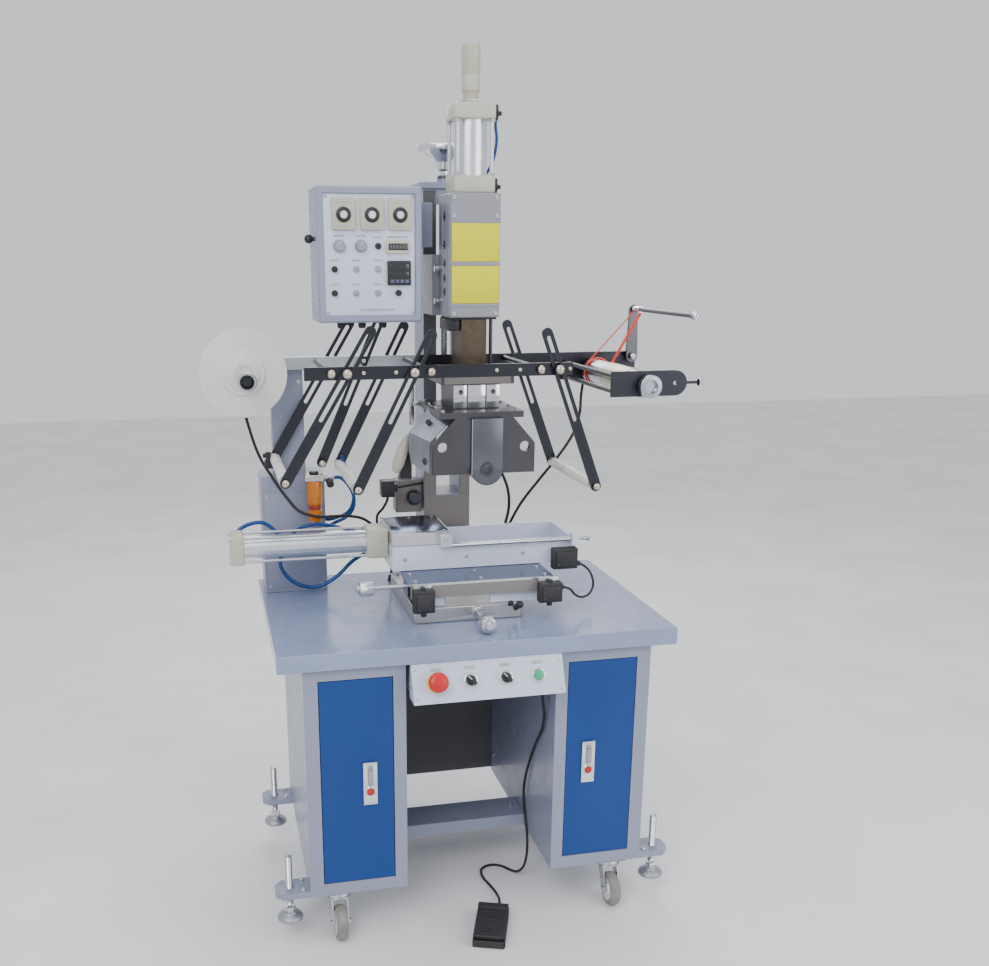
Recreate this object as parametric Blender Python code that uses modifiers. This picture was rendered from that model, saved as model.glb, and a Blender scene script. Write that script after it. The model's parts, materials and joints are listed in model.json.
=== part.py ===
"""Hot foil stamper: a pneumatic roller press on a two-cabinet table, built as separate parts.

Frame: +Z up, front of the machine towards -Y, origin on the floor under the middle of the
machine's plan.  Every length is in metres.  Positions below are written from the middle of the
table in plan and from the floor in height; the empty "machine" then moves everything by
PLAN_SHIFT, so that the origin lies under the middle of the whole outline, pedal left out.
"""
import math

import bmesh
import bpy
from mathutils import Matrix, Vector

# ---------------------------------------------------------------- driving dimensions
GAP = 0.0003                      # clearance between solids that touch
OVER = 0.001                      # how far joined shapes run into each other

TABLE_WIDTH, TABLE_DEPTH = 0.850, 0.562
TABLE_TOP, TABLE_EDGE, TABLE_SKIN = 0.664, 0.037, 0.006

CABINET_OUTER, CABINET_INNER = 0.373, 0.162      # distance of the side walls from the middle
CABINET_FRONT, CABINET_BACK = -0.265, 0.250
CABINET_LOW, CABINET_HIGH = 0.108, TABLE_TOP - TABLE_SKIN - GAP
SHEET = 0.002                                    # sheet metal of the cabinets
DOORFRAME_DEPTH = 0.022
DOOR_OUTER, DOOR_INNER = 0.342, 0.190
DOOR_LOW, DOOR_HIGH = 0.137, 0.598
DOOR_THICK, DOOR_GAP, DOOR_RECESS = 0.018, 0.0015, 0.001
LATCH_X, LATCH_Z = 0.240, 0.346

CASTER_X, CASTER_YS = 0.310, {"front": -0.232, "rear": 0.205}
CASTER_TRAIL, WHEEL_R, WHEEL_WIDTH = 0.030, 0.0375, 0.026
FOOT_X, FOOT_YS = 0.416, {"front": -0.235, "rear": 0.195}
FOOT_PAD_LOW, FOOT_TOP, STUD_R = 0.046, 0.199, 0.008
BRACKET_HIGH = 0.122

PANEL_LEFT, PANEL_RIGHT = -0.1545, 0.1675        # switch panel under the table's front edge
PANEL_TOP_Y, PANEL_LOW_Y, PANEL_LOW_Z = -0.278, -0.313, 0.551
PANEL_HIGH_Z = TABLE_TOP - TABLE_EDGE - GAP

COLUMN = {"x": (-0.033, 0.078), "y": (0.171, 0.276), "top": 1.565}
SLOT_X, SLOT_LOW, SLOT_HIGH = (-0.003, 0.052), 0.878, 1.540
SCREW_X, SCREW_Y, SCREW_R = 0.0265, 0.2235, 0.008
HANDWHEEL_R = 0.062

HEAD = {"x": (-0.018, 0.088), "y": (-0.035, 0.077), "z": (1.298, 1.5455)}
RAM_X, RAM_Y = 0.036, 0.022                      # press centre line
RAM_HALF = (0.0275, 0.046)
RAM_TOP = 1.388
ROD_R = 0.010
CYL_HALF, CYL_TUBE_R = 0.043, 0.034
CYL_CAP_TOP, CYL_TUBE_TOP, CYL_TOP = 1.580, 1.687, 1.717
MACHINE_TOP = 1.830
ROLLER_Z, ROLLER_R, ROLLER_X = 0.989, 0.033, 0.046
YOKE_FRONT, YOKE_REAR, YOKE_PLATE = -0.100, 0.120, 0.012

BAR_Z = 1.197                                    # height of the foil frame's bars
FRONT_BAR = {"x": (-0.335, 0.224), "y": (-0.124, -0.116), "z": (1.184, 1.210)}
REAR_BAR = {"x": (-0.460, 0.305), "y": (0.160, 0.170), "z": (1.178, 1.206)}
ARM_WIDTH, ARM_THICK, ARM_SLOT = 0.023, 0.005, 0.0085
ARM_FRONT_Y, ARM_REAR_Y = -0.1285, 0.1745        # middle planes of the slotted arms
LONE_ARM_Y = 0.1555
# name: pivot x, lean from upright in degrees, length below and above the pivot
ARM_PAIRS = {
    "outer": (-0.2505, 31.1, 0.252, 0.095),
    "inner": (-0.1142, 26.7, 0.264, 0.081),
    "right": (0.1917, -20.1, 0.267, 0.078),
}
LONE_ARM = (-0.175, 23.7, 0.249, 0.095)
ARM_SHAFT_R, GUIDE_R = 0.005, 0.0115

REEL_X, REEL_Z, REEL_R, REEL_Y = -0.444, 1.177, 0.095, 0.119
REEL_TUBE_R, REEL_BORE_R, REEL_FRONT = 0.020, 0.012, -0.060
DRUM_X, DRUM_Z, DRUM_R = 0.366, 1.165, 0.028
PINCH_X, PINCH_Z, PINCH_REACH = 0.463, 1.196, 0.108
THUMB_TIP = 0.491

SLIDE = {"x": (-0.148, 0.275), "y": (-0.040, 0.130), "z": (0.7553, 0.810)}
SLIDE_WALL, SLIDE_FLOOR = 0.008, 0.775
CARRIAGE_X, CARRIAGE_TOP = (-0.148, -0.015), 0.840
CYLINDER_Y, CYLINDER_Z, CYLINDER_R = 0.032, 0.810, 0.025
STOP_Y, STOP_Z, STOP_R = -0.052, 0.812, 0.005
PLATE = {"x": (-0.131, 0.190), "y": (-0.143, 0.140), "z": (0.7483, 0.755)}
X_KNOB = (-0.100, 0.739)                         # y, z of the cross feed screw
Y_KNOB = (0.020, 0.684)                          # x, z of the in-out feed screw

PEDAL_AT, PEDAL_TURN = (0.014, -0.312), -20.0
PEDAL_W, PEDAL_L = 0.070, 0.128
CABLE_R = 0.003

E_STOP_TIP_Y = -0.3264
PLAN_SHIFT = (-(REEL_X - REEL_R + THUMB_TIP) / 2, -(E_STOP_TIP_Y + SCREW_Y + HANDWHEEL_R) / 2, 0)

# ---------------------------------------------------------------- scene and materials
for old in list(bpy.data.objects):
    bpy.data.objects.remove(old, do_unlink=True)

PARTS = bpy.data.collections.new("hot_foil_stamper")
CUTTERS = bpy.data.collections.new("cutters")
for collection in (PARTS, CUTTERS):
    bpy.context.scene.collection.children.link(collection)

MACHINE = bpy.data.objects.new("machine", None)
MACHINE.location = PLAN_SHIFT
PARTS.objects.link(MACHINE)

# colour, roughness, metallic
FINISHES = {
    "grey_paint": ((0.50, 0.51, 0.56), 0.35, 0.0),
    "table_paint": ((0.55, 0.56, 0.63), 0.22, 0.0),
    "blue_paint": ((0.0, 0.085, 0.30), 0.40, 0.0),
    "dark_paint": ((0.12, 0.11, 0.10), 0.55, 0.0),
    "panel_paint": ((0.72, 0.74, 0.80), 0.35, 0.0),
    "beige_paint": ((0.55, 0.54, 0.50), 0.40, 0.0),
    "black_oxide": ((0.03, 0.03, 0.035), 0.42, 0.6),
    "bright_steel": ((0.62, 0.62, 0.64), 0.25, 1.0),
    "cast_aluminium": ((0.50, 0.49, 0.46), 0.45, 1.0),
    "brown_steel": ((0.20, 0.16, 0.12), 0.40, 0.8),
    "grey_rubber": ((0.22, 0.21, 0.20), 0.70, 0.0),
    "red_rubber": ((0.45, 0.06, 0.03), 0.60, 0.0),
    "black_plastic": ((0.03, 0.03, 0.035), 0.50, 0.0),
    "red_plastic": ((0.60, 0.05, 0.05), 0.35, 0.0),
    "green_plastic": ((0.08, 0.38, 0.20), 0.35, 0.0),
    "white_plastic": ((0.78, 0.77, 0.72), 0.45, 0.0),
    "amber_plastic": ((0.62, 0.22, 0.03), 0.25, 0.0),
    "blue_plastic": ((0.01, 0.10, 0.35), 0.35, 0.0),
}


def finish(name, look):
    """A sub-part's own material, from one of the finishes."""
    colour, roughness, metallic = FINISHES[look]
    material = bpy.data.materials.new(name)
    material.use_nodes = True
    shader = material.node_tree.nodes["Principled BSDF"]
    shader.inputs["Base Color"].default_value = (*colour, 1.0)
    shader.inputs["Roughness"].default_value = roughness
    shader.inputs["Metallic"].default_value = metallic
    return material


# ---------------------------------------------------------------- modelling helpers
def add(name, data, origin=(0, 0, 0), look=None, parent=MACHINE):
    """Put mesh or curve data in the parts collection; shapes without a look are made to be joined."""
    made = bpy.data.objects.new(name, data)
    made.location = origin
    made.parent = parent
    if look:
        made.data.materials.append(finish(name, look))
    PARTS.objects.link(made)
    return made


def from_bmesh(name, bm, smooth):
    mesh = bpy.data.meshes.new(name)
    bm.to_mesh(mesh)
    bm.free()
    if smooth:
        mesh.shade_smooth()
        mesh.set_sharp_from_angle(angle=math.radians(35))
    return mesh


def box(name, x, y, z, look=None, origin=(0, 0, 0), bevel=0.0, parent=MACHINE):
    """A block between the low and high value on each axis; its origin may lie elsewhere."""
    bm = bmesh.new()
    bmesh.ops.create_cube(bm, size=1.0)
    size = Vector((x[1] - x[0], y[1] - y[0], z[1] - z[0]))
    middle = Vector((x[0] + x[1], y[0] + y[1], z[0] + z[1])) / 2 - Vector(origin)
    bmesh.ops.scale(bm, vec=size, verts=bm.verts)
    bmesh.ops.translate(bm, vec=middle, verts=bm.verts)
    made = add(name, from_bmesh(name, bm, False), origin, look, parent)
    if bevel:
        rounding = made.modifiers.new("rounded_edges", "BEVEL")
        rounding.width = bevel
        rounding.segments = 1
    return made


def rod(name, start, end, radius, look=None, origin=(0, 0, 0), sides=24, end_radius=None, parent=MACHINE):
    """A round bar, or a cone when end_radius differs, from one point to another."""
    start, end = Vector(start), Vector(end)
    along = end - start
    turn = along.to_track_quat("Z", "Y").to_matrix().to_4x4()
    place = Matrix.Translation((start + end) / 2 - Vector(origin)) @ turn
    bm = bmesh.new()
    bmesh.ops.create_cone(bm, cap_ends=True, segments=sides, radius1=radius,
                          radius2=radius if end_radius is None else end_radius,
                          depth=along.length, matrix=place)
    return add(name, from_bmesh(name, bm, True), origin, look, parent)


AXIS_TURNS = {"Z": (0, 0, 0), "Y": (math.radians(-90), 0, 0), "X": (0, math.radians(90), 0)}


def turned(name, profile, at, look=None, axis="Z", sides=24, closed=False, parent=MACHINE):
    """A turned shape. The profile is (radius, height) down the outer side, heights along the axis."""
    bm = bmesh.new()
    corners = [bm.verts.new((radius, 0, height)) for radius, height in profile]
    for first, second in zip(corners, corners[1:] + corners[:1] if closed else corners[1:]):
        bm.edges.new((first, second))
    made = add(name, from_bmesh(name, bm, False), at, look, parent)
    made.rotation_euler = AXIS_TURNS[axis]
    lathe = made.modifiers.new("lathe", "SCREW")
    lathe.steps = sides
    lathe.render_steps = sides
    lathe.use_merge_vertices = True
    lathe.merge_threshold = 0.0001
    lathe.use_smooth_shade = False
    return made


def outline(name, loops, thickness, look=None, origin=(0, 0, 0), turn=(0, 0, 0), parent=MACHINE):
    """A flat plate from closed outlines: the first is its edge, the others are holes in it."""
    curve = bpy.data.curves.new(name, "CURVE")
    curve.dimensions = "2D"
    curve.fill_mode = "BOTH"
    curve.extrude = thickness / 2
    for loop in loops:
        spline = curve.splines.new("POLY")
        spline.points.add(len(loop) - 1)
        for point, (u, v) in zip(spline.points, loop):
            point.co = (u, v, 0, 1)
        spline.use_cyclic_u = True
    made = add(name, curve, origin, None, parent)
    made.rotation_euler = turn
    return as_mesh(made, look)


def as_mesh(source, look=None):
    """Turn a curve object into a mesh object with welded caps, in the same place."""
    bpy.context.view_layer.update()
    evaluated = source.evaluated_get(bpy.context.evaluated_depsgraph_get())
    mesh = bpy.data.meshes.new_from_object(evaluated)
    bm = bmesh.new()
    bm.from_mesh(mesh)
    bmesh.ops.remove_doubles(bm, verts=bm.verts, dist=0.00001)
    bmesh.ops.recalc_face_normals(bm, faces=bm.faces)
    bm.to_mesh(mesh)
    bm.free()
    name, parent, place = source.name, source.parent, source.matrix_world.copy()
    bpy.data.objects.remove(source, do_unlink=True)
    mesh.materials.clear()
    made = add(name, mesh, (0, 0, 0), look, parent)
    made.matrix_world = place
    return made


def arc(centre, radius, start, end, steps=6):
    """Points of a round stretch of an outline, from one angle to another in degrees."""
    angles = [math.radians(start + (end - start) * i / steps) for i in range(steps + 1)]
    return [(centre[0] + radius * math.cos(a), centre[1] + radius * math.sin(a)) for a in angles]


def circle(centre, radius, steps=16):
    return arc(centre, radius, 0, 360 - 360 / steps, steps - 1)


def stadium(low, high, radius, steps=6):
    """A slot or strap shape along the second axis, with round ends at the two heights."""
    return arc((0, low), radius, 180, 360, steps) + arc((0, high), radius, 0, 180, steps)


def smooth_route(points, spacing):
    """Points every so often along a smooth curve through the given ones."""
    points = [Vector(p) for p in points]
    ends = [points[0] * 2 - points[1]] + points + [points[-1] * 2 - points[-2]]
    dense = []
    for before, here, after, beyond in zip(ends, ends[1:], ends[2:], ends[3:]):
        for i in range(20):
            t = i / 20
            dense.append(0.5 * (2 * here + (after - before) * t
                                + (2 * before - 5 * here + 4 * after - beyond) * t * t
                                + (3 * here - before - 3 * after + beyond) * t ** 3))
    dense.append(points[-1])
    length = sum((b - a).length for a, b in zip(dense, dense[1:]))
    count = max(2, round(length / spacing))
    step, travelled, route = length / count, 0.0, [dense[0]]
    for a, b in zip(dense, dense[1:]):
        reach = (b - a).length
        while len(route) < count and travelled + reach >= step * len(route):
            route.append(a.lerp(b, (step * len(route) - travelled) / reach))
        travelled += reach
    return route + [dense[-1]]


def tube(name, points, radius, spacing, look=None):
    """A cord or hose along a smooth curve through the points."""
    curve = bpy.data.curves.new(name, "CURVE")
    curve.dimensions = "3D"
    curve.bevel_depth = radius
    curve.bevel_resolution = 2
    curve.use_fill_caps = True
    route = smooth_route(points, spacing)
    spline = curve.splines.new("POLY")
    spline.points.add(len(route) - 1)
    for point, place in zip(spline.points, route):
        point.co = (*place, 1)
    return add(name, curve, (0, 0, 0), look)


def combine(target, others, operation):
    for other in others:
        for collection in list(other.users_collection):
            collection.objects.unlink(other)
        CUTTERS.objects.link(other)
        other.hide_render = True
        other.display_type = "WIRE"
        step = target.modifiers.new(other.name, "BOOLEAN")
        step.operation = operation
        step.solver = "EXACT"
        step.object = other
    return target


def join(target, *others):
    return combine(target, others, "UNION")


def cut(target, *others):
    return combine(target, others, "DIFFERENCE")


def across(low, high, side):
    """The x range between two distances from the middle, on the left (-1) or right (+1)."""
    return tuple(sorted((side * low, side * high)))


def middle(span):
    return (span[0] + span[1]) / 2


SIDES = {"left": -1, "right": 1}


# ---------------------------------------------------------------- table and cabinets
def table_top():
    half_w, half_d = TABLE_WIDTH / 2, TABLE_DEPTH / 2
    low = TABLE_TOP - TABLE_EDGE
    top = box("table_top", (-half_w, half_w), (-half_d, half_d), (low, TABLE_TOP), "table_paint",
              bevel=0.0015)
    cut(top, box("table_hollow", (-half_w + TABLE_SKIN, half_w - TABLE_SKIN),
                 (-half_d + TABLE_SKIN, half_d - TABLE_SKIN), (low - OVER, TABLE_TOP - TABLE_SKIN)))


def cabinet(name, side):
    """A sheet cabinet with a framed doorway, two foot brackets and two caster plates."""
    shell = box(f"{name}_cabinet", across(CABINET_INNER, CABINET_OUTER, side),
                (CABINET_FRONT, CABINET_BACK), (CABINET_LOW, CABINET_HIGH), "grey_paint")
    for end in ("front", "rear"):
        y = CASTER_YS[end]
        join(shell, box(f"{name}_{end}_caster_plate", across(CASTER_X - 0.033, CASTER_X + 0.033, side),
                        (y - 0.030, y + 0.030), (0.104, CABINET_LOW + OVER)))
        y = FOOT_YS[end]
        edge = [(CABINET_OUTER - 0.0015, -0.030), (0.431, -0.030), (0.446, -0.015),
                (0.446, 0.015), (0.431, 0.030), (CABINET_OUTER - 0.0015, 0.030)]
        edge = [(side * u, v) for u, v in edge]
        hole = [(side * u, v) for u, v in circle((FOOT_X, 0), STUD_R + 0.0005)]
        thick = BRACKET_HIGH - CABINET_LOW
        join(shell, outline(f"{name}_{end}_foot_bracket", [edge, hole], thick,
                            origin=(0, y, CABINET_LOW + thick / 2)))
    cut(shell,
        box(f"{name}_cabinet_inside", across(CABINET_INNER + SHEET, CABINET_OUTER - SHEET, side),
            (CABINET_FRONT + DOORFRAME_DEPTH, CABINET_BACK - SHEET),
            (CABINET_LOW + SHEET, CABINET_HIGH - SHEET)),
        box(f"{name}_doorway", across(DOOR_INNER - DOOR_GAP, DOOR_OUTER + DOOR_GAP, side),
            (CABINET_FRONT - 0.01, CABINET_FRONT + DOORFRAME_DEPTH + OVER),
            (DOOR_LOW - DOOR_GAP, DOOR_HIGH + DOOR_GAP)))


def door(name, side):
    """A folded door panel hinged at its outer edge, and the push button of its latch."""
    front = CABINET_FRONT + DOOR_RECESS
    pin = (side * (DOOR_OUTER + DOOR_GAP / 2), CABINET_FRONT - 0.0005, 0)
    panel = box(f"{name}_door", across(DOOR_INNER, DOOR_OUTER, side), (front, front + DOOR_THICK),
                (DOOR_LOW, DOOR_HIGH), "blue_paint", origin=pin)
    cut(panel,
        box(f"{name}_door_fold", across(DOOR_INNER + SHEET, DOOR_OUTER - SHEET, side),
            (front + SHEET, front + DOOR_THICK + OVER), (DOOR_LOW + SHEET, DOOR_HIGH - SHEET)))
    x = side * LATCH_X
    join(panel, box(f"{name}_latch_plate", (x - 0.015, x + 0.015), (front - 0.003, front + 0.012),
                    (LATCH_Z - 0.031, LATCH_Z + 0.067)))
    cut(panel, rod(f"{name}_latch_bore", (x, front - 0.01, LATCH_Z), (x, front + 0.03, LATCH_Z), 0.0083,
                   sides=16))
    turned(f"{name}_latch_button", [(0, 0.022), (0.0079, 0.022), (0.0079, 0.001), (0.0065, 0), (0, 0)],
           (x, front - 0.0065, LATCH_Z), "red_plastic", "Y", 16)


def knee_space():
    box("knee_back_panel", (-CABINET_INNER + GAP, CABINET_INNER - GAP), (0.244, 0.248),
        (0.115, CABINET_HIGH), "dark_paint")
    beam = box("cross_beam", (-CABINET_INNER + GAP, CABINET_INNER - GAP), (-0.063, 0.027),
               (CABINET_LOW, 0.138), "grey_paint")
    cut(beam, box("beam_hollow", (-CABINET_INNER - OVER, CABINET_INNER + OVER), (-0.060, 0.024),
                  (CABINET_LOW - OVER, 0.135)))


def foot(name, x, y):
    """A levelling foot: swivel pad, threaded stud and lock nut, here wound up off the floor."""
    low = FOOT_PAD_LOW
    turned(name, [(0, FOOT_TOP), (STUD_R, FOOT_TOP), (STUD_R, low + 0.032), (0.013, low + 0.031),
                  (0.014, low + 0.018), (0.0275, low + 0.009), (0.0275, low), (0, low)],
           (x, y, 0), "cast_aluminium", sides=16)


def caster(name, x, y):
    """A swivel fork whose wheel trails to the front, and the wheel."""
    axle_y, top = y - CASTER_TRAIL, 0.104 - GAP
    inner, thick = WHEEL_WIDTH / 2 + 0.002, 0.003
    fork = turned(f"{name}_caster_fork", [(0, top), (0.026, top), (0.028, top - 0.004), (0.028, top - 0.009),
                                          (0.020, top - 0.014), (0, top - 0.014)],
                  (x, y, 0), "bright_steel", sides=16)
    crown_low = top - 0.018
    join(fork, box(f"{name}_fork_crown", (x - inner - thick, x + inner + thick), (y - 0.020, y + 0.020),
                   (crown_low, top - 0.010)))
    for hand in (-1, 1):
        leg = [(y - 0.020, crown_low + 0.004), (axle_y - 0.009, WHEEL_R), (axle_y, WHEEL_R - 0.010),
               (axle_y + 0.010, WHEEL_R), (y + 0.020, crown_low + 0.004)]
        join(fork, outline(f"{name}_fork_leg_{hand}", [leg], thick,
                           origin=(x + hand * (inner + thick / 2), 0, 0),
                           turn=(math.radians(90), 0, math.radians(90))))
    join(fork, rod(f"{name}_axle", (x - inner - thick - 0.004, axle_y, WHEEL_R),
                   (x + inner + thick + 0.004, axle_y, WHEEL_R), 0.004, sides=10))
    half = WHEEL_WIDTH / 2
    turned(f"{name}_caster_wheel",
           [(WHEEL_R - 0.003, half), (WHEEL_R, half - 0.004), (WHEEL_R, -half + 0.004),
            (WHEEL_R - 0.003, -half), (0.020, -half), (0.0043, -half + 0.003),
            (0.0043, half - 0.003), (0.020, half)],
           (x, axle_y, WHEEL_R), "grey_rubber", "X", 20, closed=True)


# ---------------------------------------------------------------- switches and foot pedal
# the pedal cable: out of the gland, down inside the right cabinet wall, round on the floor
CABLE_ROUTE = [
    (0.1440, -0.2250, 0.5400), (0.1440, -0.2250, 0.5290), (0.1446, -0.2252, 0.5140),
    (0.1470, -0.2250, 0.4930), (0.1520, -0.2200, 0.4600), (0.1550, -0.1950, 0.4150),
    (0.1560, -0.1550, 0.3680), (0.1565, -0.1150, 0.3100), (0.1565, -0.0820, 0.2500),
    (0.1562, -0.0700, 0.2050), (0.1558, -0.0790, 0.1660), (0.1550, -0.1000, 0.1330),
    (0.1530, -0.1190, 0.1000), (0.1490, -0.1290, 0.0660), (0.1430, -0.1260, 0.0350),
    (0.1340, -0.1100, 0.0130), (0.1230, -0.0880, 0.0050), (0.1080, -0.0650, 0.0036),
    (0.0900, -0.0540, 0.0036), (0.0700, -0.0560, 0.0036), (0.0550, -0.0680, 0.0036),
    (0.0500, -0.0880, 0.0036), (0.0510, -0.1110, 0.0036), (0.0565, -0.1350, 0.0036),
    (0.0615, -0.1620, 0.0040), (0.0630, -0.1900, 0.0058), (0.0600, -0.2140, 0.0085),
    (0.0542, -0.2308, 0.0095), (0.0503, -0.2416, 0.0095),
]


def switch_panel():
    """The sloping switch box and its four controls, set square to its sloping face."""
    slope = math.atan2(PANEL_TOP_Y - PANEL_LOW_Y, PANEL_HIGH_Z - PANEL_LOW_Z)
    edge = [(PANEL_TOP_Y, PANEL_HIGH_Z), (PANEL_LOW_Y, PANEL_LOW_Z), (CABINET_FRONT - 0.0005, PANEL_LOW_Z),
            (CABINET_FRONT - 0.0005, PANEL_HIGH_Z)]
    panel = outline("switch_panel", [edge], PANEL_RIGHT - PANEL_LEFT, "panel_paint",
                    origin=(middle((PANEL_LEFT, PANEL_RIGHT)), 0, 0),
                    turn=(math.radians(90), 0, math.radians(90)))
    join(panel, box("switch_box", (-0.150, 0.150), (-0.280, -0.205), (PANEL_LOW_Z + 0.0005, PANEL_HIGH_Z)),
         rod("cable_gland", (CABLE_ROUTE[0][0], CABLE_ROUTE[0][1], PANEL_LOW_Z - 0.020),
             (CABLE_ROUTE[0][0], CABLE_ROUTE[0][1], PANEL_LOW_Z + 0.002), 0.0075, sides=12))
    cut(panel, box("switch_box_inside", (-0.147, 0.147), (-0.262, -0.200),
                   (PANEL_LOW_Z + 0.004, PANEL_HIGH_Z - 0.003)),
        rod("gland_bore", (CABLE_ROUTE[0][0], CABLE_ROUTE[0][1], PANEL_LOW_Z - 0.022),
            (CABLE_ROUTE[0][0], CABLE_ROUTE[0][1], PANEL_LOW_Z - 0.004), CABLE_R + 0.0006, sides=12))
    face = bpy.data.objects.new("switch_face", None)
    face.location = (0, middle((PANEL_TOP_Y, PANEL_LOW_Y)), middle((PANEL_LOW_Z, PANEL_HIGH_Z)))
    face.rotation_euler = (-slope, 0, 0)
    face.parent = MACHINE
    PARTS.objects.link(face)
    bezel = [(0, 0.010), (0.0145, 0.010), (0.0145, -0.003), (0.0125, -0.005), (0, -0.005)]
    for name, x in {"e_stop": -0.104, "left": -0.033, "right": 0.042, "start": 0.112}.items():
        join(panel, turned(f"{name}_bezel", bezel, (x, 0, 0), axis="Y", sides=16, parent=face))
        cut(panel, rod(f"{name}_switch_bore", (x, -0.02, 0), (x, 0.021, 0), 0.0105, sides=16, parent=face))
    turned("e_stop_button", [(0, 0.014), (0.0100, 0.014), (0.0100, -0.014), (0.0185, -0.015),
                             (0.0210, -0.019), (0.0195, -0.025), (0.011, -0.028), (0, -0.0285)],
           (-0.104, 0, 0), "red_plastic", "Y", 28, parent=face)
    turned("start_button", [(0, 0.014), (0.0100, 0.014), (0.0100, -0.0095), (0.009, -0.0105), (0, -0.0105)],
           (0.112, 0, 0), "green_plastic", "Y", 24, parent=face)
    for name, x in {"left": -0.033, "right": 0.042}.items():
        knob = turned(f"{name}_selector", [(0, 0.014), (0.0100, 0.014), (0.0100, -0.008), (0.0095, -0.0085),
                                           (0, -0.0085)], (x, 0, 0), "black_plastic", "Y", 24, parent=face)
        grip = box(f"{name}_selector_grip", (-0.0045, 0.0045), (-0.018, -0.005), (-0.0125, 0.0125),
                   parent=face)
        grip.location = (x, 0, 0)
        grip.rotation_euler = (0, math.radians(-42), 0)
        join(knob, grip)


def pedal():
    """The foot switch on the floor: base, hinged treadle and its cable from the switch box."""
    hold = bpy.data.objects.new("pedal_place", None)
    hold.location = (*PEDAL_AT, 0)
    hold.rotation_euler = (0, 0, math.radians(PEDAL_TURN))
    hold.parent = MACHINE
    PARTS.objects.link(hold)
    half_w, half_l = PEDAL_W / 2, PEDAL_L / 2
    base = box("pedal_base", (-half_w, half_w), (-half_l, half_l), (0.0, 0.018), "black_plastic",
               bevel=0.002, parent=hold)
    join(base, rod("pedal_pin", (-half_w + 0.004, half_l - 0.012, 0.0205),
                   (half_w - 0.004, half_l - 0.012, 0.0205), 0.004, sides=12, parent=hold),
         rod("pedal_strain_relief", (0.010, half_l - 0.004, 0.0095), (0.010, half_l + 0.014, 0.0095), 0.0055,
             end_radius=0.004, sides=12, parent=hold))
    cut(base, box("pedal_well", (-half_w + 0.004, half_w - 0.004), (-half_l + 0.004, half_l - 0.030),
                  (0.010, 0.030), parent=hold),
        box("pedal_heel_well", (-half_w + 0.008, half_w - 0.008), (half_l - 0.031, half_l - 0.006),
            (0.0135, 0.0160), parent=hold))
    hinge = (0, half_l - 0.012, 0.0205)
    treadle = box("pedal_treadle", (-half_w + 0.001, half_w - 0.001), (-half_l + 0.001, half_l - 0.003),
                  (0.0262, 0.032), "black_plastic", origin=hinge, bevel=0.0015, parent=hold)
    join(treadle, box("treadle_toe", (-half_w + 0.006, half_w - 0.006), (-half_l + 0.006, half_l - 0.045),
                      (0.0180, 0.0275), parent=hold))
    tube("pedal_cable", CABLE_ROUTE, CABLE_R, 0.017, "black_plastic")


# ---------------------------------------------------------------- column, head and press
def column():
    x, y, top = COLUMN["x"], COLUMN["y"], COLUMN["top"]
    body = box("column", x, y, (TABLE_TOP + GAP, top), "grey_paint")
    join(body, box("column_foot", (x[0] - 0.022, x[1] + 0.022), (y[0] - 0.012, y[1]),
                   (TABLE_TOP + GAP, TABLE_TOP + 0.014)),
         box("column_cap", (x[0] - 0.008, x[1] + 0.008), (y[0] - 0.006, y[1] + 0.004),
             (top - OVER, top + 0.012)),
         rod("thrust_seat", (SCREW_X, SCREW_Y, top), (SCREW_X, SCREW_Y, top + 0.022), 0.016))
    cut(body, box("column_slot", SLOT_X, (y[0] - 0.02, y[1] + 0.02), (SLOT_LOW, SLOT_HIGH)),
        rod("screw_bore", (SCREW_X, SCREW_Y, SLOT_HIGH - 0.01), (SCREW_X, SCREW_Y, top + 0.04),
            SCREW_R + 0.0005),
        box("column_hollow_left", (x[0] + 0.006, SLOT_X[0] - 0.006), (y[0] + 0.008, y[1] + 0.02),
            (0.70, 1.52)),
        box("column_hollow_right", (SLOT_X[1] + 0.006, x[1] - 0.006), (y[0] + 0.008, y[1] + 0.02),
            (0.70, 1.52)))


def lift_handwheel():
    """The dished handwheel on top of the column, with the lifting screw that hangs from it."""
    seat = COLUMN["top"] + 0.022 + GAP
    rim, web = seat + 0.068, seat + 0.040
    turned("lift_handwheel",
           [(0, rim + 0.004), (0.010, rim + 0.004), (0.012, rim - 0.012), (0.040, rim - 0.008),
            (0.050, rim), (HANDWHEEL_R - 0.004, rim + 0.003), (HANDWHEEL_R, rim - 0.003),
            (HANDWHEEL_R - 0.003, rim - 0.010), (0.036, web + 0.008), (0.018, web - 0.006),
            (0.016, seat + 0.018), (0.011, seat + 0.016), (0.011, seat), (SCREW_R, seat),
            (SCREW_R, 1.120), (SCREW_R - 0.003, 1.116), (0, 1.116)],
           (SCREW_X, SCREW_Y, 0), "bright_steel", sides=28)


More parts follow.
